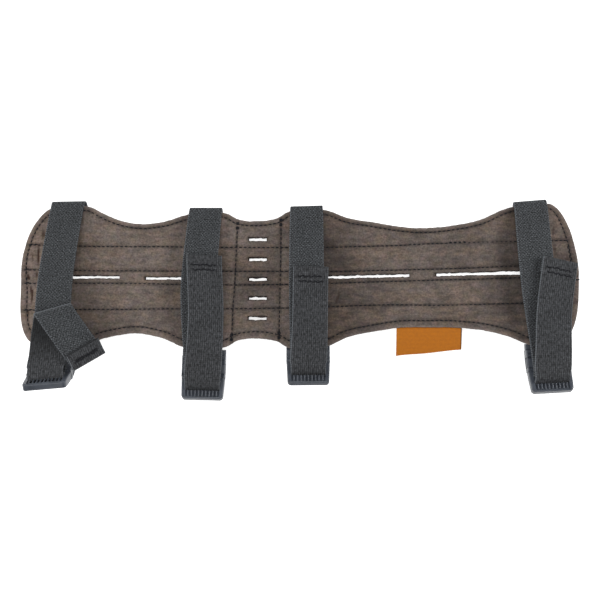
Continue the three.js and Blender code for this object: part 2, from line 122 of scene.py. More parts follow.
# Slits cut through both plies. The outer ply's upper and left lips stand out under the arm side's,
# and lips are torn deeper than the outline.
Slit = namedtuple("Slit", "start end low high flare")
LongSlit = namedtuple("LongSlit", "start end across flare covered")
LONG_SLITS = [
    LongSlit(-144.0, -108.6, 0.0, 0.0, 0.0),
    LongSlit(-93.6, -58.0, -0.7, 0.0, 0.6),
    LongSlit(10.0, 66.0, 0.0, 0.1, 0.0),
    LongSlit(80.4, 140.0, 0.0, 0.4, 1.9),
]
LONG_HALF = 0.85
SHORT_SLITS = [22.8, 10.8, -1.2, -12.6, -24.6]
SHORT_SPAN = (-31.2, -19.8)
SHORT_HALF = 1.05
LONG_LIP = 0.35
SHORT_LIP = 0.6
OUTLINE_TORN = 0.24
SLIT_TORN = 0.55
# Painted shade on the slit lips of each ply, as a share of its colour.
OUTER_LIP_SHADE = 0.2
ARM_SIDE_LIP_SHADE = 0.75

# Lengthwise seams: how far each strays from its place across, at these places along.
STRAY_X = [-160.0, -115.0, -40.0, 49.0, 90.0, 129.0]
LengthwiseSeam = namedtuple("LengthwiseSeam", "across strays")
LENGTHWISE_SEAMS = [
    LengthwiseSeam(CHANNEL_OUTER, [0.7, -0.3, -0.8, -0.7, 0.2, 0.1]),
    LengthwiseSeam(CHANNEL_INNER, [0.3, -0.2, -0.5, -0.8, -0.7, 0.0]),
    LengthwiseSeam(-CHANNEL_INNER, [0.2, 0.2, -0.8, 0.5, 0.7, 0.8]),
    LengthwiseSeam(-CHANNEL_OUTER, [-1.3, -0.7, -0.4, 1.2, 0.0, 0.2]),
]
SEAM_START = 1.3
RIGHT_END_MARGIN = 0.9
RIGHT_END_SPAN = (152.0, 162.0)
BACK_TACK = 6.8
DOUBLED_STRETCH = (89, 101)
JOIN_FROM_X = 156.0
JOIN_SPAN = (8.0, 19.0)
JOIN_SHIFT = Vector((-0.75, 0.1, 0.0))
THREAD_END = (166.2, 12.2)

# Two rows of stitches bound the flex panel: where each starts at the top and ends at the bottom.
CrossSeam = namedtuple("CrossSeam", "top_x bottom_x")
CROSS_SEAMS = [CrossSeam(-37.2, -40.8), CrossSeam(-11.4, -12.4)]
CROSS_REACH = 35.0
CROSS_STEPS = 60
CROSS_TACK = 6

# Creases from one place to another, most of them pressed into the ends.
Crease = namedtuple("Crease", "x y to_x to_y depth")
CREASES = [
    Crease(-153.8, 43.0, -153.6, 36.0, 0.40),
    Crease(-156.4, 32.5, -157.2, 20.5, 0.50),
    Crease(-160.5, 30.0, -160.0, 22.0, 0.20),
    Crease(-163.2, 16.5, -162.4, 11.0, 0.46),
    Crease(-158.5, 18.0, -158.0, 12.5, 0.30),
    Crease(-161.8, 9.5, -160.4, -2.5, 0.50),
    Crease(-163.5, -4.0, -161.5, -12.0, 0.24),
    Crease(151.2, 46.0, 152.6, 37.0, 0.2),
    Crease(152.8, 35.0, 153.0, 27.0, 0.22),
    Crease(159.6, 30.0, 161.0, 20.0, 0.14),
    Crease(-104.0, 22.0, -99.0, 30.0, 0.12),
    Crease(24.0, 8.0, 21.0, -4.0, 0.22),
]

# Both ends are tanned paler, over these distances from the middle.
PALE_ENDS = (143.0, 156.0)

# Painted shade: the suede is made darker on the longer half and beside straps 2, 3 and 4, where
# their shadows fall. It is also darker in the flex panel and at the right tip.
LONGER_HALF = (2.0, 18.0)
LONGER_HALF_SHADE = 0.3
DarkBand = namedtuple("DarkBand", "x reach share")
DARK_BANDS = [DarkBand(23.0, 14.0, 0.42), DarkBand(124.0, 11.0, 0.34), DarkBand(-74.0, 6.0, 0.12),
        DarkBand(-25.0, 11.0, 0.36), DarkBand(160.0, 9.0, 0.12)]

# Straps, numbered from the left.
Strap = namedtuple("Strap", "number x tilt lean middle buckle tail flap")
Buckle = namedtuple("Buckle", "x y z yaw pitch")
Tail = namedtuple("Tail", "x y rise tilt bow")
Flap = namedtuple("Flap", "approach heading length droop hem")
STRAPS = [
    Strap(1, -137.6, 1.0, -11.0, Vector((-143.4, 14.0, 15.4)),
          Buckle(-144.9, -47.3, 21.0, 5.0, 66.0), Tail(-143.2, -7.8, 3.6, 15.6, -144.6),
          Flap(83.5, -54.0, 34.0, 1.6, 30.0)),
    Strap(2, -56.1, 0.0, -4.0, Vector((-60.0, 6.0, 12.9)),
          Buckle(-57.8, -47.5, 1.99, -1.4, 15.0), Tail(-56.4, 25.2, 3.3, -2.6, -55.2), None),
    Strap(3, 4.0, 1.6, 0.0, Vector((3.9, 6.0, 12.9)),
          Buckle(4.9, -38.9, 3.62, 0.4, 20.0), Tail(6.3, 18.5, 3.3, -1.7, 5.9), None),
    Strap(4, 137.4, 4.5, 6.0, Vector((141.4, 5.0, 12.9)),
          Buckle(148.8, -43.6, 3.62, 3.0, 20.0), Tail(153.0, 22.6, 3.7, -12.5, 149.0), None),
]
SEWN_NARROWER = 1.4
TAIL_WIDER = 1.0
ROOT_LENGTH = 10.0
POCKET_HALF = 10.5
FOLD_RADIUS = 1.45
FLAP_RADIUS = 2.1
FOLD_TURN = 172.0
FOLD_INSET = 0.05
# Painted shadow of strap 1's flap on the tail under it: how dark it is, and over which rows before
# the fold.
FLAP_SHADOW_DEPTH = 0.6
FLAP_SHADOW_ROWS = (42, 8)
HEM_LENGTH = 8.5
HEM_RADIUS = 0.76
HEM_LIFT = 0.5
HEM_SEAMS = (4.6, 7.6)
TURNED_HEM_SEAMS = (2.5, 3.4)
HEM_STITCHES = 9
HEM_STITCH_PITCH = 1.65
EDGE_CLEARANCE = 1.6
SELVEDGE = 0.9
ROOT_STEPS = 6
FOLD_STEPS = 14
RUN_STEPS = 16
TAIL_STEPS = 14
HEM_STEPS = 10
HEM_ROWS = 8
FLAP_STEPS = 20

# Places closer than this count as the same.
CLOSE = 0.01

# Buckles: places run along the buckle from the joint of its halves, heights from the outer face.
CURVE_RADIUS = 60.0
PLUG_HALF = 12.9
PLUG_END_HALF = 12.3
PLUG_BOW = 0.7
PLUG_RAIL = 2.4
PLUG_LENGTH = 13.6
PLUG_BLOCK = 2.4
PLUG_MIDDLE = (4.6, 6.8)
PLUG_LADDER = 8.6
PLUG_HEIGHTS = (0.6, 1.9, 4.0, 5.4)
PLUG_BAR_HEIGHTS = (2.0, 3.9)
PLUG_END = (12.5, 12.75)
END_HEIGHT = 4.8
LADDER_HEIGHT = 4.4
TEETH = 9
TOOTH_PITCH = 2.2
TOOTH_WIDE = 0.85
TOOTH_HIGH = 1.5
TOOTH_SLOPE = 0.8
TOOTH_SPAN = (8.8, 12.2)
PRONG = (6.6, 8.8)
PRONG_STEPS = (3.0, 5.8, 1.6)
EAR_OUT = 4.1
EAR_HEIGHTS = (1.7, 4.5)
GUIDE_HALF = 1.2
GUIDE_REACH = 8.0
SOCKET_HALF = 13.0
SOCKET_SKIN = 1.4
SOCKET_ARM = 10.2
SOCKET_STEPS = (-0.3, -2.6, -9.2, -11.6, -14.0, -15.8, -18.0)
RIM_RADIUS = 0.8
EDGE_RADIUS = 0.34
CORNER_RADIUS = 1.9
SOCKET_HEIGHTS = (0.0, 1.4, 2.0, 4.2, 4.8, 6.2)
THREADED = {"over": 7.6, "enter": 6.3, "in_gap": 4.6, "round": 2.9, "leave": 4.8, "out": 7.2,
            "back": 9.3, "top": 10.6}
TAB_WIDTH = 20.0
TAB_THICK = 1.0
TAB_WRAP = 2.3
TAB_EYE = 1.8
TAB_UNDER = 9.0
TAB_LAYER = 1.35
TAB_GAP = 0.3

# Label, folded in half, with both ends in the lower seam.
LABEL_FROM = 57.6
LABEL_TO = 96.6
LABEL_INSIDE = 4.0
LABEL_OUT = (16.8, 12.9)
LABEL_WAVE = 0.6
LABEL_DROP = 2.6
LABEL_FOLD_RADIUS = 0.2
LABEL_CLOTH = 0.26
LABEL_ROWS = 14
LABEL_BENDS = 8
LABEL_COLUMNS = 40

# Edges that bend by more than these angles are rounded, or shaded as sharp.
ROUNDED_FROM = math.radians(40)
SHARP_FROM = math.radians(48)

# Camera, straight above the guard.
CAMERA_HEIGHT = 520.0
CAMERA_LENS = 51.6
CAMERA_SENSOR = 36.0

# Lights that face the guard's middle, in metres and watts.
Softbox = namedtuple("Softbox", "name place size power")
SOFTBOXES = [
    Softbox("left_softbox", Vector((-0.9, 0.25, 0.55)), 0.5, 6.0),
    Softbox("right_softbox", Vector((0.9, 0.25, 0.55)), 0.5, 9.0),
    Softbox("overhead_softbox", Vector((0.0, 0.1, 1.3)), 0.8, 4.6),
    Softbox("front_softbox", Vector((-0.35, -0.7, 1.2)), 0.8, 6.6),
]


def linear(hex_colour):
    """An sRGB hex colour as linear red, green and blue."""
    shares = [int(hex_colour[i:i + 2], 16) / 255 for i in (1, 3, 5)]
    return [s / 12.92 if s <= 0.04045 else ((s + 0.055) / 1.055) ** 2.4 for s in shares]


class ArmGuardSizes(bpy.types.PropertyGroup):
    """Sizes of the guard that a user would change."""

    ply: FloatProperty(
        name="Ply", description="Thickness of each suede ply",
        default=1.5 * MM, unit="LENGTH")
    ply_gap: FloatProperty(
        name="Ply gap", description="Gap between the two plies in the solids",
        default=0.3 * MM, unit="LENGTH")
    channel_rise: FloatProperty(
        name="Channel rise", description="How far the sewn channels stand up",
        default=0.9 * MM, unit="LENGTH")
    seam_depth: FloatProperty(
        name="Seam depth", description="How deep the stitches pull into the suede",
        default=0.42 * MM, unit="LENGTH")
    upper_margin: FloatProperty(
        name="Upper margin", description="From the upper edge to its row of stitches",
        default=2.7 * MM, unit="LENGTH")
    lower_margin: FloatProperty(
        name="Lower margin", description="From the lower edge to its row of stitches",
        default=4.0 * MM, unit="LENGTH")
    stitch_pitch: FloatProperty(
        name="Stitch pitch", description="From one stitch to the next",
        default=2.75 * MM, unit="LENGTH")
    stitch_length: FloatProperty(
        name="Stitch length", description="Length of the thread that shows",
        default=2.0 * MM, unit="LENGTH")
    thread: FloatProperty(
        name="Thread", description="Thickness of the sewing thread",
        default=0.78 * MM, unit="LENGTH")
    strap_width: FloatProperty(
        name="Strap width", description="Width of the elastic at its free end",
        default=20.8 * MM, unit="LENGTH")
    strap: FloatProperty(
        name="Strap", description="Thickness of the elastic",
        default=1.2 * MM, unit="LENGTH")
    strap_ribs: IntProperty(
        name="Strap ribs", description="Ribs across the outer face of the elastic",
        default=16, min=4)


class ArmGuardColours(bpy.types.PropertyGroup):
    """Colours of the guard's materials."""

    suede: FloatVectorProperty(
        name="Suede", description="Arm-side suede", subtype="COLOR", size=3,
        default=linear("#665c56"))
    # Colour of the blotches where the nap lies flat, and of the painted shade on the suede.
    suede_dark: FloatVectorProperty(
        name="Suede, darker", description="Suede where its nap lies flat, and painted shade", subtype="COLOR",
        size=3, default=linear("#3f3835"))
    suede_warm: FloatVectorProperty(
        name="Suede, warm", description="Browner patches of the suede", subtype="COLOR", size=3,
        default=linear("#6a594b"))
    suede_end: FloatVectorProperty(
        name="Suede, ends", description="Suede at the two ends, tanned paler", subtype="COLOR",
        size=3, default=linear("#786a62"))
    # Colour of the painted shade in creases.
    suede_crease_shade: FloatVectorProperty(
        name="Suede crease", description="Creases in the ends of the suede", subtype="COLOR",
        size=3, default=linear("#2e1d15"))
    suede_edge: FloatVectorProperty(
        name="Suede edge", description="Frayed cut edges of the suede", subtype="COLOR", size=3,
        default=linear("#776d67"))
    outer_suede: FloatVectorProperty(
        name="Outer suede", description="Suede of the outer ply", subtype="COLOR", size=3,
        default=linear("#5f554f"))
    elastic: FloatVectorProperty(
        name="Elastic", description="Plain face of the elastic", subtype="COLOR", size=3,
        default=linear("#37393b"))
    elastic_ribbed: FloatVectorProperty(
        name="Elastic, ribbed", description="Ribbed face of the elastic", subtype="COLOR",
        size=3, default=linear("#343537"))
    # Colour of the paler loops along the edges, of the painted highlight on each strap's first edge,
    # and of the paler core in folds.
    elastic_light: FloatVectorProperty(
        name="Elastic, selvedge", description="Loops along the edges of the elastic",
        subtype="COLOR", size=3, default=linear("#73777c"))
    plastic: FloatVectorProperty(
        name="Plastic", description="Moulded plastic of the buckles", subtype="COLOR", size=3,
        default=linear("#3e4249"))
    thread: FloatVectorProperty(
        name="Thread", description="Sewing thread", subtype="COLOR", size=3,
        default=linear("#0b0c11"))
    label: FloatVectorProperty(
        name="Label", description="Woven label", subtype="COLOR", size=3,
        default=linear("#a36017"))
    floor: FloatVectorProperty(
        name="Floor", description="Pale floor", subtype="COLOR", size=3,
        default=linear("#e6e6e6"))


def lerp(a, b, t):
    return a + (b - a) * t


def clamp(value, low=0.0, high=1.0):
    return max(low, min(high, value))


def smoothstep(value, low, high):
    t = clamp((value - low) / (high - low))
    return t * t * (3 - 2 * t)


def bell(distance, width):
    return math.exp(-((distance / width) ** 2))


def wander(place, size, seed):
    """A smooth random value from -1 to 1 that changes over about size millimetres."""
    return noise.noise(Vector((place[0] / size, place[1] / size, seed)))


def heading(degrees):
    """A level direction, counted from +X toward +Y."""
    return Vector((math.cos(math.radians(degrees)), math.sin(math.radians(degrees)), 0.0))


def spaced(points, step):
    """Points about step apart along a line of points."""
    made, left = [points[0].copy()], step
    for a, b in zip(points, points[1:]):
        length = (b - a).length
        while length >= left > 0:
            made.append(a.lerp(b, left / length))
            left += step
        left -= length
    return made


def grid_places(bm, columns, rows):
    """Makes a flat grid and gives the numbers of the column and row of each vertex."""
    last, top = columns - 1, rows - 1
    made = bmesh.ops.create_grid(bm, x_segments=last, y_segments=top, size=1)
    return {vert: (round((vert.co.x + 1) / 2 * last), round((vert.co.y + 1) / 2 * top))
            for vert in made["verts"]}


def second_face(bm):
    """Extrudes a whole surface in place and gives the vertices of its second face."""
    made = bmesh.ops.extrude_face_region(bm, geom=bm.faces[:], use_keep_orig=True)["geom"]
    return {g for g in made if isinstance(g, bmesh.types.BMVert)}


def map_weave(bm, across, along):
    """A UV map in millimetres across and along a cloth."""
    uv = bm.loops.layers.uv.new("weave")
    for face in bm.faces:
        for loop in face.loops:
            loop[uv].uv = (loop.vert[across], loop.vert[along])


# The leather's outline and heights.

def smooth_edge(side, x):
    """Distance from the long axis to the edge between the first and last rows of the table."""
    last = len(EDGE) - 1
    i = max(k for k in range(last) if EDGE[k].x <= x)

    def slope(k):
        before, after = EDGE[max(k - 1, 0)], EDGE[min(k + 1, last)]
        return (getattr(after, side) - getattr(before, side)) / (after.x - before.x)

    span = EDGE[i + 1].x - EDGE[i].x
    t = (x - EDGE[i].x) / span
    middle = lerp(getattr(EDGE[i], side), getattr(EDGE[i + 1], side), t * t * (3 - 2 * t))
    return middle + span * t * (1 - t) * (slope(i) * (1 - t) - slope(i + 1) * t)


def edge_at(side, x):
    """Distance from the long axis to the upper or lower edge."""
    if EDGE[0].x <= x < EDGE[-1].x:
        return smooth_edge(side, x)
    left = x < EDGE[0].x
    lobe, tip = (EDGE[0], LEFT_TIP_X) if left else (EDGE[-1], RIGHT_TIP_X)
    power = (LEFT_END if left else RIGHT_END)[side]
    share = min((x - lobe.x) / (tip - lobe.x), 1.0)
    return getattr(lobe, side) * (1 - share ** power) ** (1 / power)


def lift(across):
    """Height of the guard's underside over the table."""
    low = LOWER_BEND - across
    if low <= 0:
        return UPPER_SLOPE * max(across - UPPER_BEND, 0.0)
    bend = min(low, LOWER_BEND_LENGTH)
    return LOWER_SLOPE * (bend * bend / (2 * LOWER_BEND_LENGTH) + low - bend)


def drift(x):
    return max(x - DRIFT_FROM, 0.0) * DRIFT_SLOPE


def seam_across(seam, x):
    """Place across of a lengthwise seam, which wanders a little, as a hand guides it."""
    i = max((k for k in range(len(STRAY_X) - 1) if STRAY_X[k] <= x), default=0)
    share = smoothstep(x, STRAY_X[i], STRAY_X[i + 1])
    stray = lerp(seam.strays[i], seam.strays[i + 1], share)
    return seam.across + drift(x) + stray + 0.15 * wander((x, seam.across), 24.0, 3.0)


def cross_seam_x(seam, across):
    share = (CROSS_REACH - across) / (2 * CROSS_REACH)
    return lerp(seam.top_x, seam.bottom_x, share) + 0.35 * wander((across, seam.top_x), 22.0, 5.0)


def leather_stations(slits, step):
    """Places along the guard, closer together toward its tips, with one at each slit's ends."""
    turns = [math.radians(TIP_TURN) * i / TIP_STEPS for i in range(TIP_STEPS + 1)]
    left = [lerp(EDGE[0].x, LEFT_TIP_X, math.sin(turn)) for turn in reversed(turns)]
    right = [lerp(EDGE[-1].x, RIGHT_TIP_X, math.sin(turn)) for turn in turns]
    count = round((EDGE[-1].x - EDGE[0].x) / step)
    middle = [lerp(EDGE[0].x, EDGE[-1].x, i / count) for i in range(1, count)]
    stations = left + middle + right
    for slit in slits:
        for place in (slit.start, slit.end):
            nearest = min(range(len(stations)), key=lambda i: abs(stations[i] - place))
            stations[nearest] = place
    return stations


def leather_rows(slits, step):
    """Rows across: numbers within INNER_SPAN, and beyond it shares of the way to the edge."""
    lips = sorted({lip for slit in slits for lip in (slit.low, slit.high)})
    rows = set()
    for slit in slits:
        for away in (0.0, 0.2, 0.5):
            rows.update((round(slit.low - away, 3), round(slit.high + away, 3)))
    count = round(2 * INNER_SPAN / step)
    for i in range(count + 1):
        row = lerp(-INNER_SPAN, INNER_SPAN, i / count)
        if all(abs(row - lip) > 1.0 for lip in lips):
            rows.add(row)
    return sorted(rows)


class LeatherForm:
    """Heights of the plies at a place along and across the guard."""

    def __init__(self, sizes):
        self.ply = sizes.ply / MM
        self.seam = self.ply + sizes.ply_gap / MM / 2
        self.plies = 2 * self.ply + sizes.ply_gap / MM
        self.rise = sizes.channel_rise / MM
        self.depth = sizes.seam_depth / MM
        self.margins = {"upper": sizes.upper_margin / MM, "lower": sizes.lower_margin / MM}
        self.outline = self.make_outline()
        self.tree = KDTree(len(self.outline))
        for i, place in enumerate(self.outline):
            self.tree.insert(place, i)
        self.tree.balance()

    def make_outline(self):
        stations = leather_stations([], 0.5)
        upper = [Vector((x, edge_at("upper", x), 0.0)) for x in stations]
        lower = [Vector((x, -edge_at("lower", x), 0.0)) for x in reversed(stations)]
        return spaced([*upper, *lower, upper[0]], 0.15)

    def inset(self, x, across):
        return self.tree.find(Vector((x, across, 0.0)))[2]

    def margin(self, x, across):
        """From the edge to its row of stitches, more at the upper right."""
        side = lerp(self.margins["lower"], self.margins["upper"], smoothstep(across, -14.0, 14.0))
        at_end = smoothstep(x, *RIGHT_END_SPAN) * smoothstep(across, -6.0, 4.0)
        return side + RIGHT_END_MARGIN * at_end

    def seam_line(self):
        """The row of stitches that runs round the guard, inside its edge."""
        count = len(self.outline)
        line = []
        for i, place in enumerate(self.outline):
            along = (self.outline[(i + 6) % count] - self.outline[i - 6]).normalized()
            inward = Vector((along.y, -along.x, 0.0))
            line.append(place + inward * self.margin(place.x, place.y))
        return line

    def channel(self, x, across):
        inset = abs(across - drift(x))
        if not CHANNEL_INNER < inset < CHANNEL_OUTER:
            return 0.0
        full = math.sin(math.pi * (inset - CHANNEL_INNER) / (CHANNEL_OUTER - CHANNEL_INNER))
        flex = smoothstep(abs(x - FLEX_MIDDLE_X), FLEX_HALF - 1, FLEX_HALF + 4)
        ends = smoothstep(min(x - LEFT_TIP_X, RIGHT_TIP_X - x), 3.0, 14.0)
        return self.rise * math.sqrt(full) * (0.25 + 0.75 * flex) * ends

    def seam_share(self, x, across, inset):
        """1 on a row of stitches, 0 away from it."""
        away = abs(inset - self.margin(x, across))
        for seam in LENGTHWISE_SEAMS:
            if abs(across - seam.across - drift(x)) < 4.0:
                away = min(away, abs(across - seam_across(seam, x)))
        for seam in CROSS_SEAMS:
            if abs(x - seam.top_x) < 6.0:
                away = min(away, abs(x - cross_seam_x(seam, across)))
        return bell(away, 0.8)

    def creases(self, x, across):
        dent = 0.0
        for crease in CREASES:
            start = Vector((crease.x, crease.y - AXIS_Y))
            run = Vector((crease.to_x, crease.to_y - AXIS_Y)) - start
            share = clamp((Vector((x, across)) - start).dot(run) / run.length_squared)
            bend = 1.1 * wander((x, across), 5.0, crease.x)
            away = (Vector((x + bend, across)) - start - run * share).length
            dent += crease.depth * bell(away, 0.95) * math.sin(math.pi * clamp(share, 0.12, 0.88))
            dent -= 0.4 * crease.depth * bell(away - 2.0, 0.9)
        return dent

    def uneven(self, x, across):
        """Low swells that soft leather has everywhere."""
        return 0.16 * wander((x, across), 19.0, 1.0) + 0.07 * wander((x, across), 6.0, 2.0)

    def pocket(self, x, across):
        """1 where a strap's end lies between the plies."""
        share = 0.0
        for strap in STRAPS:
            side = abs(x - strap.x) - POCKET_HALF
            deep = edge_at("upper", x) - across - ROOT_LENGTH - 1.0
            share = max(share, (1 - smoothstep(side, 0.0, 1.2)) * (1 - smoothstep(deep, 0.0, 1.2)))
        return share

    def arm_side(self, x, across, inset):
        """Height of the face that lies against the arm."""
        sewn = self.depth * self.seam_share(x, across, inset)
        calm = smoothstep(inset, 0.2, 3.0)
        swell = calm * (self.uneven(x, across) - self.creases(x, across))
        return lift(across) + self.plies + self.channel(x, across) - sewn + swell

    def arm_side_under(self, x, across):
        return lift(across) + self.seam + 0.05 + 0.75 * self.pocket(x, across)

    def outer_inside(self, x, across):
        return lift(across) + self.seam - 0.05 - 0.75 * self.pocket(x, across)

    def outer_face(self, x, across, inset):
        sewn = self.depth * self.seam_share(x, across, inset)
        return lift(across) + sewn


def rounded(inset, radius):
    """How far a rounded edge falls away at a distance from it."""
    if inset >= radius:
        return 0.0
    return radius - math.sqrt(radius * radius - (radius - inset) ** 2)


def slit_distance(slits, x, across):
    """Distance to the nearest slit."""
    level = across - drift(x)
    best = 99.0
    for slit in slits:
        off = max(slit.start - x, x - slit.end, 0.0)
        if off < 3.0:
            best = min(best, math.hypot(off, max(slit.low - level, level - slit.high, 0.0)))
    return best


def cut_slits(long_lip, short_lip):
    """The slits of one ply: the upper and left lips stand out by a lip."""
    slits = [Slit(s.start + (s.covered if long_lip else 0.0), s.end, s.across - LONG_HALF,
                  s.across + LONG_HALF - long_lip, s.flare) for s in LONG_SLITS]
    for middle in SHORT_SLITS:
        slits.append(Slit(SHORT_SPAN[0] + short_lip, SHORT_SPAN[1] - 0.5 * short_lip,
                          middle - SHORT_HALF, middle + SHORT_HALF - short_lip, 0.0))
    return slits


def slit_flare(slits, x, across):
    """How far the lips of a slit that opens toward its right end move apart."""
    level = across - drift(x)
    for slit in slits:
        if slit.flare and slit.start - 2 < x < slit.end + 2:
            middle = (slit.low + slit.high) / 2
            open_share = lerp(-0.5, 1.0, (x - slit.start) / (slit.end - slit.start))
            away = max(abs(level - middle) - (slit.high - slit.low) / 2, 0.0)
            return math.copysign(slit.flare * open_share * bell(away, 1.2), level - middle)
    return 0.0


def darkening_share(x, across):
    """How much darker the suede is made, from 0 to 1: painted shade on the longer half and beside
    straps 2, 3 and 4, and a darker tone in the flex panel and at the right tip.
    """
    x += 5.0 * wander((x, across), 13.0, 31.0)
    share = LONGER_HALF_SHADE * smoothstep(x, *LONGER_HALF)
    return clamp(share + sum(band.share * bell(x - band.x, band.reach) for band in DARK_BANDS))


def ply_bmesh(form, slits, faces_up, step):
    """One suede ply, both faces and the cut edges, with its slits cut through."""
    bm = bmesh.new()
    layers = bm.verts.layers.float
    names = ("along", "across", "cut_edge", "slit_lip", "sewn", "crease", "shade_and_darkening")
    for name in names:
        layers.new(name)
    along, across, cut_edge, slit_lip, sewn, crease, shade_and_darkening = (layers[name] for name in names)
    stations = leather_stations(slits, step)
    inner = leather_rows(slits, step)
    count = 2 * OUTER_ROWS + len(inner)

    def row_place(k, x):
        lower, upper = edge_at("lower", x), edge_at("upper", x)
        if OUTER_ROWS <= k < OUTER_ROWS + len(inner):
            row = inner[k - OUTER_ROWS]
            squeeze = min(1.0, (lower if row < 0 else upper) / (INNER_SPAN + INNER_ROOM))
            follows = 1 - smoothstep(abs(row), 8.0, INNER_SPAN)
            return (row + drift(x) * follows) * squeeze
        from_edge = k if k < OUTER_ROWS else count - 1 - k
        edge = lower if k < OUTER_ROWS else upper
        start = INNER_SPAN * min(1.0, edge / (INNER_SPAN + INNER_ROOM))
        span = edge - start
        fine = len(ROUNDING)
        if from_edge < fine:
            away = ROUNDING[fine - 1 - from_edge] * min(1.0, span / 3.0)
        else:
            first = ROUNDING[0] * min(1.0, span / 3.0)
            away = lerp(first, span, (from_edge - fine + 1) / (OUTER_ROWS - fine + 1))
        return (edge - away) * (-1 if k < OUTER_ROWS else 1)

    for vert, (i, k) in grid_places(bm, len(stations), count).items():
        vert[along] = stations[i]
        vert[across] = row_place(k, stations[i])

    def in_slit(face):
        x = sum(v[along] for v in face.verts) / len(face.verts)
        level = sum(v[across] - drift(v[along]) for v in face.verts) / len(face.verts)
        return any(s.start < x < s.end and s.low < level < s.high for s in slits)

    bmesh.ops.delete(bm, geom=[f for f in bm.faces if in_slit(f)], context="FACES")
    outline = {v for e in bm.edges if e.is_boundary for v in e.verts}
    for vert in bm.verts:
        vert[cut_edge] = 1.0 if vert in outline else 0.0
    second = second_face(bm)
    for vert in bm.verts:
        x, v = vert[along], vert[across]
        inset = 0.0 if vert[cut_edge] else form.inset(x, v)
        lip = 0.0 if vert[cut_edge] else slit_distance(slits, x, v)
        near = min(inset, lip)
        shown = (vert not in second) == faces_up
        if faces_up:
            height = form.arm_side(x, v, inset) if shown else form.arm_side_under(x, v)
        else:
            height = form.outer_face(x, v, inset) if shown else form.outer_inside(x, v)
        fall = rounded(near, SHOWN_RADIUS if shown else HIDDEN_RADIUS)
        height += fall if (vert in second) else -fall
        fray = bell(near, 0.9)
        edge = form.inset(x, v)
        torn = OUTLINE_TORN if edge < 3.0 else SLIT_TORN
        ragged = fray * torn * wander((x, v), 1.9, 7.0 if faces_up else 17.0)
        ragged += fray * 0.16 * wander((x, v), 5.5, 9.0 if faces_up else 19.0)
        sideways = fray * 0.14 * wander((x, v), 2.3, 11.0)
        # Marks for painted shade along rows of stitches, on slit lips and in creases.
        vert[sewn] = form.seam_share(x, v, edge)
        vert[slit_lip] = bell(slit_distance(slits, x, v), 0.9)
        vert[crease] = clamp(form.creases(x, v) * 3.0)
        # Painted shade on the longer half and beside the straps, and a darker tone in the flex panel
        # and at the right tip.
        vert[shade_and_darkening] = darkening_share(x, v)
        vert[cut_edge] = bell(edge, 1.0)
        vert.co = (x + sideways, AXIS_Y + v + ragged + slit_flare(slits, x, v), height)
    return bm


# Straps: rows of a middle line and the direction across it, from the sewn end to the free end.

Row = namedtuple("Row", "at rule")


def turn_rows(start, ahead, axis, toward, radius, degrees, steps):
    """Rows of a strap that turns about an axis toward one side."""
    level = ahead - axis * ahead.dot(axis)
    slip = ahead.dot(axis) / level.length
    level.normalize()
    rows = []
    for i in range(1, steps + 1):
        turn = math.radians(degrees) * i / steps
        at = start + level * (radius * math.sin(turn)) + toward * (radius * (1 - math.cos(turn)))
        rows.append(Row(at + axis * (slip * radius * turn), axis))
    return rows


def smooth_place(places, spot):
    """A place on a smooth curve through places: spot 1.5 is midway from the second to the third."""
    i = min(int(spot), len(places) - 3)
    t = spot - i
    a, b, c, d = places[i - 1:i + 3]
    before, here, after = (math.sqrt((q - p).length) for p, q in ((a, b), (b, c), (c, d)))
    leave = ((b - a) / before - (c - a) / (before + here) + (c - b) / here) * here
    arrive = ((c - b) / here - (d - b) / (here + after) + (d - c) / after) * here
    bend = leave * (t * (1 - t) ** 2) - arrive * (t * t * (1 - t))
    return b.lerp(c, t * t * (3 - 2 * t)) + bend


def run_rows(places, steps, first_rule, last_rule):
    """Rows along a smooth curve, from the second place to the last but one."""
    count = steps * (len(places) - 3)
    rows = []
    for i in range(1, count + 1):
        rule = first_rule.lerp(last_rule, i / count).normalized()
        rows.append(Row(smooth_place(places, 1 + i / steps), rule))
    return rows


def height_over(rows, y):
    """Height of a run of rows at a place across the guard."""
    i = next((k for k, row in enumerate(rows) if row.at.y < y), len(rows) - 1)
    i = max(i, 1)
    a, b = rows[i - 1].at, rows[i].at
    return lerp(a.z, b.z, (y - a.y) / (b.y - a.y))


def in_buckle(buckle, sideways, along, height):
    """World place of a spot in a curved buckle."""
    joint = math.radians(buckle.pitch)
    pitch = joint + along / CURVE_RADIUS
    out = CURVE_RADIUS * (math.sin(pitch) - math.sin(joint)) - height * math.sin(pitch)
    rise = CURVE_RADIUS * (math.cos(joint) - math.cos(pitch)) + height * math.cos(pitch)
    place = Vector((buckle.x, buckle.y, buckle.z + rise))
    return place + heading(buckle.yaw) * sideways + heading(buckle.yaw - 90) * out


def root_rows(strap, seam, sewn_width):
    """Rows of the strap's end between the plies, out to the edge."""
    axis, square = heading(strap.tilt), heading(strap.tilt + 90)
    run = heading(strap.lean - 90)
    out = run - square * (2 * run.dot(square))
    slant = math.tan(math.radians(strap.tilt))
    crest = max(edge_at("upper", strap.x + s * sewn_width) - s * sewn_width * slant
                for s in (-0.5, -0.25, 0.0, 0.25, 0.5))
    leave = Vector((strap.x, AXIS_Y + crest - FOLD_INSET, 0.0))
    rows = []
    for i in range(ROOT_STEPS + 1):
        at = leave + out * (ROOT_LENGTH * (i / ROOT_STEPS - 1))
        at.z = lift(at.y - AXIS_Y) + seam
        rows.append(Row(at, axis))
    return rows


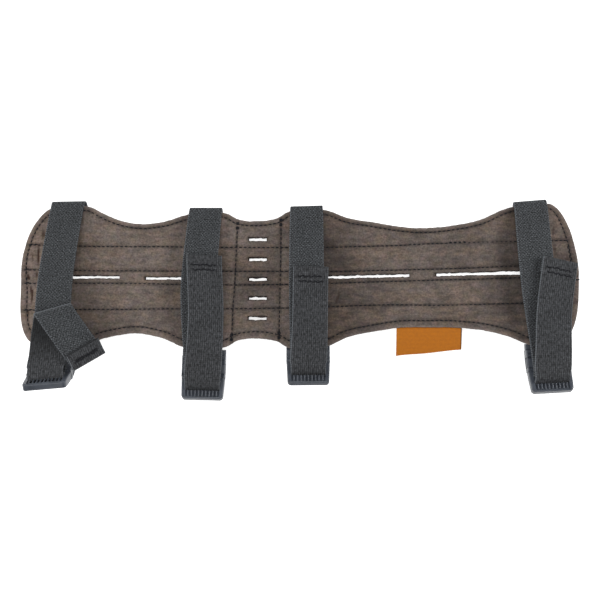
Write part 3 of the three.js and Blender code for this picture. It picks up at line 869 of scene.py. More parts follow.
def buckle_rows(buckle):
    """Rows through the buckle: into the first gap, round the middle bar, out of the second gap."""
    rule = heading(buckle.yaw)
    centre = sum(PLUG_MIDDLE) / 2
    radius = (PLUG_LADDER - PLUG_BLOCK) / 3
    spots = [(centre - radius - 0.4, THREADED["enter"]), (centre - radius, THREADED["in_gap"])]
    for i in range(FOLD_STEPS + 1):
        turn = math.pi * i / FOLD_STEPS
        level = THREADED["round"] - radius * math.sin(turn)
        spots.append((centre - radius * math.cos(turn), level))
    spots.append((centre + radius, THREADED["leave"]))
    spots.append((centre + radius - 0.4, THREADED["out"]))
    spots.append((centre + radius - 1.8, THREADED["back"]))
    return [Row(in_buckle(buckle, 0.0, along, height), rule) for along, height in spots]


def flap_rows(start, ahead, axis, flap):
    """The free end of strap 1 turns over on a slanting line and points down to the right."""
    toward = axis.cross(ahead).normalized()
    rows = turn_rows(start, ahead, axis, toward, FLAP_RADIUS, 180.0, FOLD_STEPS)
    begin = rows[-1].at
    out, hem = heading(flap.heading), heading(flap.hem)
    for i in range(1, FLAP_STEPS + 1):
        share = i / FLAP_STEPS
        at = begin + out * (flap.length * share)
        at.z += flap.droop * math.sin(math.pi * 0.75 * share)
        rows.append(Row(at, axis.lerp(hem, min(1.0, share * 2)).normalized()))
    return rows


def strap_rows(strap, sizes):
    """All rows of a strap, and the numbers of the row that leaves the buckle, of the rows where a
    flap's fold starts and ends, of the last row before the hem and of the first after it."""
    buckle, tail, flap = strap.buckle, strap.tail, strap.flap
    ply, gap = sizes.ply / MM, sizes.ply_gap / MM
    seam = ply + gap / 2
    sewn_width = sizes.strap_width / MM - SEWN_NARROWER
    top_rule, buckle_rule = heading(strap.tilt), heading(buckle.yaw)
    rows = root_rows(strap, seam, sewn_width)
    leave = (rows[-1].at - rows[-2].at).normalized()
    upward = top_rule.cross(leave).normalized()
    rows += turn_rows(rows[-1].at, leave, top_rule, upward, FOLD_RADIUS, FOLD_TURN, FOLD_STEPS)

    # Main run, from the fold across the arm side and over the lower edge to the buckle.
    through = buckle_rows(buckle)
    edge = -edge_at("lower", buckle.x)
    over = Vector((lerp(strap.middle.x, buckle.x, 0.7), AXIS_Y + edge, 0.0))
    over.z = max(lift(edge) + 2 * ply + gap + EDGE_CLEARANCE,
                 lerp(strap.middle.z, through[0].at.z, 0.72))
    block = in_buckle(buckle, 0.0, 0.6, THREADED["over"])
    places = [rows[-2].at, rows[-1].at, strap.middle, over, block, through[0].at]
    run = run_rows(places, RUN_STEPS, top_rule, buckle_rule)
    rows += run + through
    leaves = len(rows) - 1

    # Tail, over the main run.
    tail_rule = heading(tail.tilt)
    square = heading(flap.approach if flap else tail.tilt + 90)
    turned = in_buckle(buckle, 0.0, 3.2, THREADED["top"])

    def above(x, y, rise):
        return Vector((x, y, height_over(run, y) + rise))

    end = above(tail.x, tail.y, tail.rise)
    half = above(tail.bow, lerp(turned.y, tail.y, 0.55), tail.rise - 0.6)
    near = above(lerp(turned.x, tail.bow, 0.5), lerp(turned.y, tail.y, 0.2), tail.rise - 0.6)
    places = [through[-1].at, turned, near, half, end, end + square * 6]
    rows.append(Row(turned, buckle_rule))
    rows += run_rows(places, TAIL_STEPS, buckle_rule, tail_rule)
    ahead = (end - rows[-2].at).normalized()
    folded = range(len(rows), len(rows))
    if flap:
        folded = range(len(rows), len(rows) + FOLD_STEPS)
        rows += flap_rows(end, ahead, tail_rule, flap)
        ahead = (rows[-1].at - rows[-2].at).normalized()

    # Hem folded to the face that lies against the arm in the main run.
    last = rows[-1]
    before_hem = len(rows) - 1
    face = ahead.cross(last.rule).normalized()
    rows += turn_rows(last.at, ahead, last.rule, face, HEM_RADIUS, 180.0, HEM_STEPS)
    after_hem = len(rows) - 1
    hem = rows[-1].at
    back = last.rule * (2 * ahead.dot(last.rule)) - ahead if flap else -ahead
    for i in range(1, HEM_ROWS + 1):
        at = hem + back * (HEM_LENGTH * i / HEM_ROWS) + face * (HEM_LIFT * (i / HEM_ROWS) ** 3)
        rows.append(Row(at, last.rule))
    return rows, leaves, folded, before_hem, after_hem


def row_frame(rows, i):
    """Middle, sideways direction and face direction of a ribbon at a row, and how far it slants."""
    along = (rows[min(i + 1, len(rows) - 1)].at - rows[max(i - 1, 0)].at).normalized()
    face = along.cross(rows[i].rule)
    return rows[i].at, rows[i].rule, face.normalized(), face.length


def ribbon_bmesh(rows, width, widths, thick, columns, relief, marks):
    """A strap along rows, each with its own width. columns are places across from 0 to 1, and
    relief(share, face) what a place stands up on the plain face, 1, or on the ribbed face, -1. Face
    1 has material 0. marks holds a value for each row by the name of its attribute."""
    bm = bmesh.new()
    layers = bm.verts.layers.float
    for name in ("across", "along", *marks):
        layers.new(name)
    across, along = layers["across"], layers["along"]
    lengths = [0.0]
    for a, b in zip(rows, rows[1:]):
        lengths.append(lengths[-1] + (b.at - a.at).length)
    for vert, (i, k) in grid_places(bm, len(rows), len(columns)).items():
        vert[along] = i
        vert[across] = columns[k]
    ribbed = second_face(bm)
    frames = [row_frame(rows, i) for i in range(len(rows))]
    for vert in bm.verts:
        i = round(vert[along])
        at, rule, face, slant = frames[i]
        share = vert[across]
        side = -1 if vert in ribbed else 1
        away = min(share, 1 - share) * widths[i]
        half = thick / 2 - rounded(away, 0.45) * 0.55 * thick / 0.9 + relief(share, side)
        vert.co = at + rule * (widths[i] / slant * (share - 0.5)) + face * (side * half)
        for name, values in marks.items():
            vert[layers[name]] = values[i]
        vert[along] = lengths[i]
        vert[across] = share * width
    for face in bm.faces:
        face.material_index = 1 if all(v in ribbed for v in face.verts) else 0
    map_weave(bm, across, along)
    return bm


def strap_columns(width, ribs):
    """Places across a strap: close together at its rounded selvedges, four to a rib between."""
    selvedge = [0.0, 0.12 / width, 0.3 / width, 0.6 / width]
    first = SELVEDGE / width
    count = 4 * ribs
    middle = [lerp(first, 1 - first, i / count) for i in range(count + 1)]
    return selvedge + middle + [1 - s for s in reversed(selvedge)]


# Stitches.

def add_stitch(bm, place, ahead, up, length, thick):
    """A short run of thread: a slim round body that dips into the cloth at both ends."""
    ahead = ahead.normalized()
    side = up.cross(ahead).normalized()
    up = ahead.cross(side)
    turn = Matrix((side, up, ahead)).transposed().to_4x4()
    size = Matrix.Diagonal((thick / 2, thick / 2, length / 2, 1.0))
    bmesh.ops.create_uvsphere(
        bm, u_segments=8, v_segments=6, radius=1.0, matrix=Matrix.Translation(place) @ turn @ size)


def sew(line, height, sizes, below=False, seed=0.0):
    """Stitches along a line of (along, across) places, each at the height of the leather there."""
    pitch = sizes.stitch_pitch / MM
    length, thick = sizes.stitch_length / MM, sizes.thread / MM
    up = Vector((0.0, 0.0, -1.0 if below else 1.0))
    marks = spaced(line, pitch / 2)
    bm = bmesh.new()
    for i in range(1, len(marks) - 1, 2):
        middle = marks[i]
        ahead = marks[i + 1] - marks[i - 1]
        ends = []
        for sign in (-0.5, 0.5):
            spot = middle + ahead.normalized() * (length * sign)
            ends.append(Vector((spot.x, AXIS_Y + spot.y, height(spot.x, spot.y))))
        run = ends[1] - ends[0]
        run = Matrix.Rotation(0.09 * wander((i * 1.7, seed), 1.0, seed), 3, "Z") @ run
        stretch = length * (1 + 0.12 * wander((i * 2.3, seed), 1.0, 4.0))
        add_stitch(bm, (ends[0] + ends[1]) / 2 + up * 0.1, run, up, stretch, thick)
    return bm


def gather(bm, part):
    """Adds a part's mesh to another: an operator takes longer the larger the mesh it works on."""
    mesh = bpy.data.meshes.new("part")
    part.to_mesh(mesh)
    part.free()
    bm.from_mesh(mesh)
    bpy.data.meshes.remove(mesh)


# Buckles.

def block_bmesh(sides, stations):
    """A flat grid with lines at given places."""
    bm = bmesh.new()
    for vert, (i, k) in grid_places(bm, len(sides), len(stations)).items():
        vert.co = (sides[i], stations[k], 0.0)
    return bm


def extruded(bm, faces, offset, keep=False):
    """Extrudes faces by an offset and returns the moved faces."""
    made = bmesh.ops.extrude_face_region(bm, geom=faces, use_keep_orig=keep)["geom"]
    moved = [g for g in made if isinstance(g, bmesh.types.BMVert)]
    bmesh.ops.translate(bm, vec=offset, verts=moved)
    return [g for g in made if isinstance(g, bmesh.types.BMFace)]


def faces_near(bm, test):
    return [face for face in bm.faces if test(face.calc_center_median(), face.normal)]


def both(*places):
    """Places and their mirror images, in order."""
    return sorted({p * sign for p in places for sign in (-1, 1)})


def plug_bmesh():
    """The plug before it is bent: block, rails, middle bar, ladder bar, prongs and guide."""
    inner = PLUG_HALF - PLUG_RAIL
    fillet = inner - 0.4
    sides = both(GUIDE_HALF, *PRONG, fillet, inner, PLUG_HALF)
    stations = [0.0, PLUG_BLOCK, *PLUG_MIDDLE, PLUG_LADDER, *PLUG_END, PLUG_LENGTH]
    bm = block_bmesh(sides, stations)
    gaps = [(PLUG_BLOCK, PLUG_MIDDLE[0]), (PLUG_MIDDLE[1], PLUG_LADDER)]
    windows = faces_near(bm, lambda c, n: abs(c.x) < inner and any(a < c.y < b for a, b in gaps))
    bmesh.ops.delete(bm, geom=windows, context="FACES")
    level = bm.faces[:]
    bmesh.ops.translate(bm, vec=(0.0, 0.0, PLUG_HEIGHTS[0]), verts=bm.verts)
    for i, (low, high) in enumerate(zip(PLUG_HEIGHTS, PLUG_HEIGHTS[1:])):
        level = extruded(bm, level, (0.0, 0.0, high - low), keep=i == 0)
    bmesh.ops.recalc_face_normals(bm, faces=bm.faces)

    # The middle bar is slim, the ladder bar is hollowed for its teeth, and the end slopes down.
    low, high = PLUG_HEIGHTS[0], PLUG_HEIGHTS[-1]
    for vert in bm.verts:
        share = (vert.co.z - low) / (high - low)
        if abs(vert.co.x) < inner - CLOSE and PLUG_MIDDLE[0] <= vert.co.y <= PLUG_MIDDLE[1]:
            vert.co.z = lerp(*PLUG_BAR_HEIGHTS, share)
        elif vert.co.y >= PLUG_LADDER:
            end = (vert.co.y - PLUG_LADDER) / (PLUG_LENGTH - PLUG_LADDER)
            hollow = abs(vert.co.x) < inner - CLOSE and vert.co.y < PLUG_END[0] + CLOSE
            vert.co.z = lerp(low, LADDER_HEIGHT if hollow else lerp(high, END_HEIGHT, end), share)

    # Prongs with ears, and the guide, in the socket.
    bm.normal_update()
    front = [f for f in faces_near(bm, lambda c, n: n.y < -0.9 and abs(c.y) < CLOSE)
             if PLUG_HEIGHTS[1] < f.calc_center_median().z < PLUG_HEIGHTS[2]]
    prongs = [f for f in front if PRONG[0] < abs(f.calc_center_median().x) < PRONG[1]]
    guide = [f for f in front if abs(f.calc_center_median().x) < GUIDE_HALF]
    extruded(bm, guide, (0.0, -GUIDE_REACH, 0.0))
    for step in PRONG_STEPS:
        prongs = extruded(bm, prongs, (0.0, -step, 0.0))
    bm.normal_update()
    ear_from, ear_to = -PRONG_STEPS[0], -PRONG_STEPS[0] - PRONG_STEPS[1]
    middle = sum(PLUG_HEIGHTS[1:3]) / 2
    for sign in (-1, 1):
        ears = faces_near(bm, lambda c, n: n.x * sign > 0.9 and ear_to < c.y < ear_from
                          and abs(c.x * sign - PRONG[1]) < CLOSE)
        for ear in extruded(bm, ears, (sign * EAR_OUT, 0.0, 0.0)):
            for vert in ear.verts:
                vert.co.z = EAR_HEIGHTS[0] if vert.co.z < middle else EAR_HEIGHTS[1]
    return bm


def teeth_bmesh():
    """The row of teeth on the ladder bar, which bite the strap."""
    bm = bmesh.new()
    middle = sum(TOOTH_SPAN) / 2
    low, high = LADDER_HEIGHT - 0.4, LADDER_HEIGHT + TOOTH_HIGH
    size = Matrix.Diagonal((TOOTH_WIDE, TOOTH_SPAN[1] - TOOTH_SPAN[0], high - low, 1.0))
    for i in range(TEETH):
        side = (i - (TEETH - 1) / 2) * TOOTH_PITCH
        at = Matrix.Translation((side, middle, (low + high) / 2))
        bmesh.ops.create_cube(bm, size=1.0, matrix=at @ size)
    for vert in bm.verts:
        if vert.co.z > (low + high) / 2 and vert.co.y > middle:
            vert.co.z -= TOOTH_SLOPE
    upper = [e for e in bm.edges if any(v.co.z > low + 0.1 for v in e.verts)]
    bmesh.ops.bevel(bm, geom=upper, offset=0.26, offset_type="OFFSET", affect="EDGES",
                    segments=2, profile=0.5, material=-1, clamp_overlap=True)
    return bm


def socket_bmesh():
    """The socket before it is bent: a hollow shell with side windows, two arms and a bar."""
    half, inner = SOCKET_HALF, SOCKET_HALF - SOCKET_SKIN
    sides = both(SOCKET_ARM, inner, half)
    bm = block_bmesh(sides, list(SOCKET_HEIGHTS))
    bmesh.ops.rotate(bm, matrix=Matrix.Rotation(math.radians(90), 3, "X"), verts=bm.verts)
    level = bm.faces[:]
    bmesh.ops.translate(bm, vec=(0.0, SOCKET_STEPS[0], 0.0), verts=bm.verts)
    for i in range(4):
        step = SOCKET_STEPS[i + 1] - SOCKET_STEPS[i]
        level = extruded(bm, level, (0.0, step, 0.0), keep=i == 0)
    bmesh.ops.recalc_face_normals(bm, faces=bm.faces)
    low, high = SOCKET_HEIGHTS[1], SOCKET_HEIGHTS[-2]

    # The hollow, pushed in from the mouth, and the windows where the ears show.
    hollow = faces_near(bm, lambda c, n: n.y > 0.9 and abs(c.x) < inner and low < c.z < high)
    for i in range(3):
        hollow = extruded(bm, hollow, (0.0, SOCKET_STEPS[i + 1] - SOCKET_STEPS[i], 0.0))
    bm.normal_update()
    for sign in (-1, 1):
        pair = faces_near(bm, lambda c, n: abs(n.x) > 0.9 and c.x * sign > inner - CLOSE
                          and SOCKET_STEPS[2] < c.y < SOCKET_STEPS[1] and low < c.z < high)
        rims = dict.fromkeys(e for f in pair for e in f.edges)
        rims = [e for e in rims if sum(f in pair for f in e.link_faces) == 1]
        bmesh.ops.delete(bm, geom=pair, context="FACES_ONLY")
        bmesh.ops.delete(bm, geom=[e for e in bm.edges if e.is_wire], context="EDGES")
        bmesh.ops.bridge_loops(bm, edges=[e for e in rims if e.is_valid])
    bm.normal_update()

    # Arms from the end wall, and the bar between them.
    arms = faces_near(bm, lambda c, n: n.y < -0.9 and abs(c.x) > SOCKET_ARM and low < c.z < high
                      and abs(c.y - SOCKET_STEPS[4]) < CLOSE)
    for i in (4, 5):
        arms = extruded(bm, arms, (0.0, SOCKET_STEPS[i + 1] - SOCKET_STEPS[i], 0.0))
    bm.normal_update()
    ends = faces_near(bm, lambda c, n: abs(abs(c.x) - SOCKET_ARM) < CLOSE and abs(n.x) > 0.9
                      and SOCKET_STEPS[6] < c.y < SOCKET_STEPS[5]
                      and SOCKET_HEIGHTS[2] < c.z < SOCKET_HEIGHTS[3])
    rims = [e for f in ends for e in f.edges]
    bmesh.ops.delete(bm, geom=ends, context="FACES_ONLY")
    bmesh.ops.bridge_loops(bm, edges=rims)
    return bm


def round_edges(bm, groups):
    """Rounds a buckle's edges as a mould does: first groups of (test, radius, segments), then
    every edge that is still sharp."""
    bmesh.ops.recalc_face_normals(bm, faces=bm.faces)
    bmesh.ops.dissolve_limit(bm, angle_limit=math.radians(1.0), verts=bm.verts, edges=bm.edges)
    groups = [*groups, (lambda e: e.calc_face_angle(0.0) > ROUNDED_FROM, EDGE_RADIUS, 2)]
    for test, radius, segments in groups:
        bmesh.ops.bevel(bm, geom=[e for e in bm.edges if test(e)], offset=radius,
                        offset_type="OFFSET", affect="EDGES", segments=segments, profile=0.5,
                        material=-1, clamp_overlap=True)
        bm.normal_update()


def on_rim(half, end):
    """A test for edges round a buckle's outside, between its top or bottom and its sides."""
    def test(edge):
        if len(edge.link_faces) != 2 or edge.calc_face_angle(0.0) < ROUNDED_FROM:
            return False
        middle = (edge.verts[0].co + edge.verts[1].co) / 2
        at_side = abs(middle.x) > half - 0.02
        at_end = end is not None and middle.y > end - CORNER_RADIUS - 0.1
        flat = any(abs(f.normal.z) > 0.7 for f in edge.link_faces)
        side = any(f.normal.x * middle.x > 0.5 * abs(middle.x) and abs(middle.x) > half - 2.0
                   or at_end and f.normal.y > 0.5 for f in edge.link_faces)
        return flat and side and (at_side or at_end)
    return test


def bend_into_place(bm, buckle):
    """Bends a straight buckle half along its curve, to its place on the guard."""
    low = min(v.co.y for v in bm.verts)
    high = max(v.co.y for v in bm.verts)
    count = round((high - low) / 2.5)
    for i in range(1, count):
        bmesh.ops.bisect_plane(
            bm, geom=bm.verts[:] + bm.edges[:] + bm.faces[:], dist=1e-4,
            plane_co=(0.0, lerp(low, high, i / count), 0.0), plane_no=(0.0, 1.0, 0.0))
    bmesh.ops.triangulate(bm, faces=[f for f in bm.faces if len(f.verts) > 4])
    draw = 1 - PLUG_END_HALF / PLUG_HALF
    for vert in bm.verts:
        x, y, z = vert.co
        narrow = 1 - draw * clamp(y / PLUG_LENGTH)
        bow = PLUG_BOW * (1 - (x / PLUG_HALF) ** 2) * smoothstep(y, PLUG_LADDER, PLUG_LENGTH)
        vert.co = in_buckle(buckle, x * narrow, y + bow, z)


# Materials.

def add_node(material, kind, inputs=(), **settings):
    """Adds a node. inputs holds values, sockets or nodes, whose first output is then meant: a list
    in the order of the sockets, or a dictionary by socket name or number."""
    node = material.node_tree.nodes.new("ShaderNode" + kind)
    for name, value in settings.items():
        setattr(node, name, value)
    for socket, value in inputs.items() if isinstance(inputs, dict) else enumerate(inputs):
        if isinstance(value, bpy.types.Node):
            value = value.outputs[0]
        if isinstance(value, bpy.types.NodeSocket):
            material.node_tree.links.new(value, node.inputs[socket])
        else:
            node.inputs[socket].default_value = value
    return node


# Sockets of a Mix node that mixes colours.
FACTOR, COLOUR_A, COLOUR_B, MIXED = 0, 6, 7, 2

# Wavelength of a Wave texture of scale 1, with bands along an axis and with slanting bands.
BAND_WAVE = 0.314
SLANT_WAVE = 0.628


def new_material(name):
    material = bpy.data.materials.new(name)
    material.use_nodes = True
    material.node_tree.nodes.clear()
    return material


def show(material, shader):
    add_node(material, "OutputMaterial", {"Surface": shader})
    return material


def solid_colour(colour):
    return (*colour, 1.0)


def per_metre(size_mm):
    """Scale of a pattern on Object coordinates whose features are about size_mm wide."""
    return 1.0 / (size_mm * MM)


def suede_material(name, colour, lip_shade, colours):
    """Suede split from cow hide: a matt brushed nap, blotchy where it is stroked, with a fine sheen
    and paler fibres on cut edges, and painted shade along seams, slit lips and creases. It also
    carries painted shade on the longer half and beside the straps, and a darker tone in the flex
    panel and at the right tip."""
    m = new_material(name)
    place = add_node(m, "TexCoord").outputs["Object"]
    brushed = add_node(m, "Mapping", {"Vector": place, "Scale": (0.3, 1.0, 1.0)})
    blotch = add_node(m, "TexNoise", {"Vector": place, "Scale": per_metre(30), "Detail": 4.0,
                                      "Roughness": 0.6})
    cloud = add_node(m, "TexNoise", {"Vector": place, "Scale": per_metre(8), "Detail": 2.0,
                                     "Roughness": 0.6})
    tint = add_node(m, "TexNoise", {"Vector": brushed, "Scale": per_metre(9), "Detail": 3.0,
                                    "Roughness": 0.6})
    hue = add_node(m, "TexNoise", {"Vector": place, "Scale": per_metre(4), "Detail": 3.0,
                                   "Roughness": 0.65}).outputs["Color"]
    streak = add_node(m, "TexNoise", {"Vector": brushed, "Scale": per_metre(2.2), "Detail": 3.0,
                                      "Roughness": 0.65})
    nap = add_node(m, "TexNoise", {"Vector": place, "Scale": per_metre(1.2), "Detail": 2.0,
                                   "Roughness": 0.7})
    shares = {part: add_node(m, "Attribute", attribute_name=part).outputs["Fac"]
              for part in ("cut_edge", "slit_lip", "sewn", "crease", "shade_and_darkening")}

    # The paler ends, the nap that lies flat in blotches, and the painted shade and darker tone that
    # the mesh marks.
    along = add_node(m, "SeparateXYZ", [place]).outputs["X"]
    from_middle = add_node(m, "Math", [along], operation="ABSOLUTE")
    at_ends = add_node(m, "MapRange", [from_middle, *(place * MM for place in PALE_ENDS), 0.0, 0.75])
    ends = add_node(m, "Mix", {FACTOR: at_ends, COLOUR_A: solid_colour(colour),
                               COLOUR_B: solid_colour(colours.suede_end)}, data_type="RGBA")
    blotches = add_node(m, "MapRange", [blotch, 0.42, 0.66, 0.0, 0.4])
    flat = add_node(m, "Math", [blotches, shares["shade_and_darkening"]], operation="ADD")
    tone = add_node(m, "Mix", {FACTOR: flat, COLOUR_A: ends.outputs[MIXED],
                               COLOUR_B: solid_colour(colours.suede_dark)}, data_type="RGBA")
    warm = add_node(m, "MapRange", [tint, 0.48, 0.62, 0.0, 0.32])
    tinted = add_node(m, "Mix", {FACTOR: warm, COLOUR_A: tone.outputs[MIXED],
                                 COLOUR_B: solid_colour(colours.suede_warm)}, data_type="RGBA")
    # Faint mauve, olive and brown from the dye, a few per cent to each side of the main colour.
    dye = add_node(m, "VectorMath", [hue, (0.34, 0.18, 0.44), (0.83, 0.91, 0.78)],
                   operation="MULTIPLY_ADD")
    dyed = add_node(m, "VectorMath", [tinted.outputs[MIXED], dye], operation="MULTIPLY")

    # Fibres, brushed along the guard.
    fibres = add_node(m, "MapRange", [nap, 0.3, 0.7, 0.68, 1.32])
    streaks = add_node(m, "MapRange", [streak, 0.32, 0.68, 0.78, 1.22])
    clouds = add_node(m, "MapRange", [cloud, 0.35, 0.65, 0.92, 1.08])
    brushing = add_node(m, "Math", [streaks, fibres], operation="MULTIPLY")
    texture = add_node(m, "Math", [brushing, clouds], operation="MULTIPLY")
    napped = add_node(m, "VectorMath", {0: dyed, "Scale": texture}, operation="SCALE")

    # Frayed edges, and painted shade in creases, along seams and on slit lips.
    edge_fibres = add_node(m, "Math", [shares["cut_edge"], fibres], operation="MULTIPLY")
    fraying = add_node(m, "Math", [edge_fibres, 0.4], operation="MULTIPLY")
    frayed = add_node(m, "Mix", {FACTOR: fraying, COLOUR_A: napped,
                                 COLOUR_B: solid_colour(colours.suede_edge)}, data_type="RGBA")
    crease_shading = add_node(m, "MapRange", [shares["crease"], 0.12, 0.8, 0.0, 0.9])
    crease_shaded = add_node(m, "Mix", {FACTOR: crease_shading, COLOUR_A: frayed.outputs[MIXED],
                                  COLOUR_B: solid_colour(colours.suede_crease_shade)}, data_type="RGBA")
    seam_shade = add_node(m, "MapRange", [shares["sewn"], 0.0, 1.0, 1.0, 0.5])
    slit_shade = add_node(m, "MapRange", [shares["slit_lip"], 0.3, 1.0, 1.0, lip_shade])
    shade = add_node(m, "Math", [seam_shade, slit_shade], operation="MULTIPLY")
    shaded = add_node(m, "VectorMath", {0: crease_shaded.outputs[MIXED], "Scale": shade},
                      operation="SCALE")
    fine = add_node(m, "Bump", {"Height": nap, "Strength": 0.6, "Distance": 0.3 * MM})
    coarse = add_node(m, "Bump", {"Height": streak, "Strength": 0.5, "Distance": 0.35 * MM,
                                  "Normal": fine})
    return show(m, add_node(m, "BsdfPrincipled", {
        "Base Color": shaded, "Roughness": add_node(m, "MapRange", [nap, 0.3, 0.7, 0.86, 1.0]),
        "Specular IOR Level": 0.14, "Sheen Weight": 0.14, "Sheen Roughness": 0.55,
        "Sheen Tint": solid_colour(linear("#b4acaa")), "Normal": coarse}))


def elastic_material(name, rib_pitch, width, colours):
    """Woven elastic, polyester over rubber. One face is a close grain with a dotted selvedge, the
    other shows lengthwise ribs. Its yarns are about 0.35 mm; they are drawn twice as coarse, as they
    would not show from where the guard is seen. A fold opens the paler core. Strap 1's tail is
    darkened by a painted shadow under its flap, and a cut end is scorched dark, with a painted
    shadow along it. The first selvedge is also paler as a painted highlight."""
    m = new_material(name)
    cloth = add_node(m, "UVMap", uv_map="weave")
    drawn = add_node(m, "Mapping", {"Vector": cloth, "Scale": (1.0, 0.4, 1.0)})
    grain = add_node(m, "TexNoise", {"Vector": drawn if rib_pitch else cloth, "Scale": 1 / 0.85,
                                     "Detail": 2.0, "Roughness": 0.7})
    worn = add_node(m, "TexNoise", {"Vector": cloth, "Scale": 1 / 14.0, "Detail": 3.0})
    picks = add_node(m, "TexWave", {"Vector": cloth, "Scale": BAND_WAVE / 1.25, "Distortion": 1.0},
                     wave_type="BANDS", bands_direction="Y", wave_profile="SIN").outputs["Fac"]
    contrast = (0.3, 1.75) if rib_pitch else (0.1, 2.1)
    yarns = add_node(m, "MapRange", [grain, 0.34, 0.66, *contrast])
    if rib_pitch:
        # Ribs start at the selvedge, as in the mesh.
        moved = add_node(m, "Mapping", {"Vector": cloth, "Location": (-SELVEDGE, 0.0, 0.0)})
        ribs = add_node(m, "TexWave", {"Vector": moved, "Scale": BAND_WAVE / rib_pitch,
                                       "Distortion": 0.4}, wave_type="BANDS",
                        bands_direction="X", wave_profile="SIN").outputs["Fac"]
        weave = add_node(m, "MapRange", [ribs, 0.0, 1.0, 0.66, 1.22])
    else:
        # The plain face is a twill: dots where two sets of slanting lines cross.
        mirrored = add_node(m, "Mapping", {"Vector": cloth, "Scale": (1.0, -1.0, 1.0)})
        slants = [add_node(m, "TexWave", {"Vector": way, "Scale": SLANT_WAVE / 1.85,
                                          "Distortion": 2.2}, wave_type="BANDS",
                           bands_direction="DIAGONAL", wave_profile="SIN").outputs["Fac"]
                  for way in (cloth, mirrored)]
        dots = add_node(m, "Math", slants, operation="MULTIPLY")
        weave = add_node(m, "MapRange", [dots, 0.0, 0.7, 0.68, 1.38])
    pick_shade = add_node(m, "MapRange", [picks, 0.0, 1.0, 0.9, 1.1])
    wear = add_node(m, "MapRange", [worn, 0.3, 0.7, 0.88, 1.12])
    for part in (weave, pick_shade, wear):
        yarns = add_node(m, "Math", [yarns, part], operation="MULTIPLY")
    colour = colours.elastic_ribbed if rib_pitch else colours.elastic
    body = add_node(m, "VectorMath", {0: tuple(colour), "Scale": yarns}, operation="SCALE")

    # Selvedge: a line of loops along each edge, paler on the first. Its extra paleness is a painted
    # highlight from the light on that side.
    across = add_node(m, "SeparateXYZ", [cloth]).outputs["X"]
    first = add_node(m, "MapRange", [across, 0.4, 0.85, 0.5, 0.0])
    second = add_node(m, "MapRange", [across, width - 0.85, width - 0.4, 0.0, 0.2])
    selvedge = add_node(m, "Math", [first, second], operation="ADD")
    dotted = add_node(m, "MapRange", [picks, 0.3, 0.8, 0.6 if rib_pitch else 0.15, 1.0])
    loops = add_node(m, "Math", [selvedge, dotted], operation="MULTIPLY")

    # Folds, the painted shadow under strap 1's flap, and cut ends, scorched dark and with a painted
    # shadow along them.
    shares = {part: add_node(m, "Attribute", attribute_name=part).outputs["Fac"]
              for part in ("folded", "flap_shadow", "dark_cut_end")}
    opened = add_node(m, "MapRange", [picks, 0.2, 0.8, 0.6, 1.0])
    fold = add_node(m, "Math", [shares["folded"], opened], operation="MULTIPLY")
    paler = add_node(m, "Math", [loops, fold], operation="MAXIMUM")
    edged = add_node(m, "Mix", {FACTOR: paler, COLOUR_A: body,
                                COLOUR_B: solid_colour(colours.elastic_light)}, data_type="RGBA")
    # The cut end: scorched dark, with a painted shadow along the raw edge.
    cut_end_darkening = add_node(m, "MapRange", [shares["dark_cut_end"], 0.2, 0.9, 1.0, 0.25])
    # Painted shadow of strap 1's flap on the tail.
    inside = add_node(m, "MapRange", [shares["flap_shadow"], 0.0, 1.0, 1.0, 0.0])
    darker = add_node(m, "Math", [cut_end_darkening, inside], operation="MULTIPLY")
    ended = add_node(m, "VectorMath", {0: edged.outputs[MIXED], "Scale": darker},
                     operation="SCALE")
    bump = add_node(m, "Bump", {"Height": yarns, "Strength": 0.6, "Distance": 0.2 * MM})
    return show(m, add_node(m, "BsdfPrincipled", {
        "Base Color": ended, "Roughness": add_node(m, "MapRange", [grain, 0.3, 0.7, 0.75, 0.95]),
        "Specular IOR Level": 0.25, "Sheen Weight": 0.08, "Sheen Roughness": 0.4,
        "Sheen Tint": solid_colour(linear("#c4c8cc")), "Normal": bump}))


def plastic_material(colours):
    """Injection-moulded acetal: near black, satin, with the fine grain of an eroded mould and a
    slightly polished skin."""
    m = new_material("moulded_acetal")
    place = add_node(m, "TexCoord").outputs["Object"]
    grain = add_node(m, "TexNoise", {"Vector": place, "Scale": per_metre(0.5), "Detail": 2.0})
    flow = add_node(m, "TexNoise", {"Vector": place, "Scale": per_metre(7.0), "Detail": 3.0})
    tone = add_node(m, "MapRange", [flow, 0.3, 0.7, 0.8, 1.25])
    colour = add_node(m, "VectorMath", {0: tuple(colours.plastic), "Scale": tone},
                      operation="SCALE")
    bump = add_node(m, "Bump", {"Height": grain, "Strength": 0.12, "Distance": 0.08 * MM})
    return show(m, add_node(m, "BsdfPrincipled", {
        "Base Color": colour, "Roughness": add_node(m, "MapRange", [flow, 0.3, 0.7, 0.26, 0.42]),
        "IOR": 1.48, "Specular IOR Level": 0.36, "Normal": bump}))


def thread_material(colours):
    """Bonded polyester sewing thread: navy black, with a dull shine along its twist."""
    m = new_material("polyester_thread")
    place = add_node(m, "TexCoord").outputs["Object"]
    ply = add_node(m, "TexNoise", {"Vector": place, "Scale": per_metre(0.7), "Detail": 1.0})
    tone = add_node(m, "MapRange", [ply, 0.3, 0.7, 0.6, 1.7])
    colour = add_node(m, "VectorMath", {0: tuple(colours.thread), "Scale": tone},
                      operation="SCALE")
    return show(m, add_node(m, "BsdfPrincipled", {
        "Base Color": colour, "Roughness": add_node(m, "MapRange", [ply, 0.3, 0.7, 0.5, 0.7]),
        "Specular IOR Level": 0.25}))


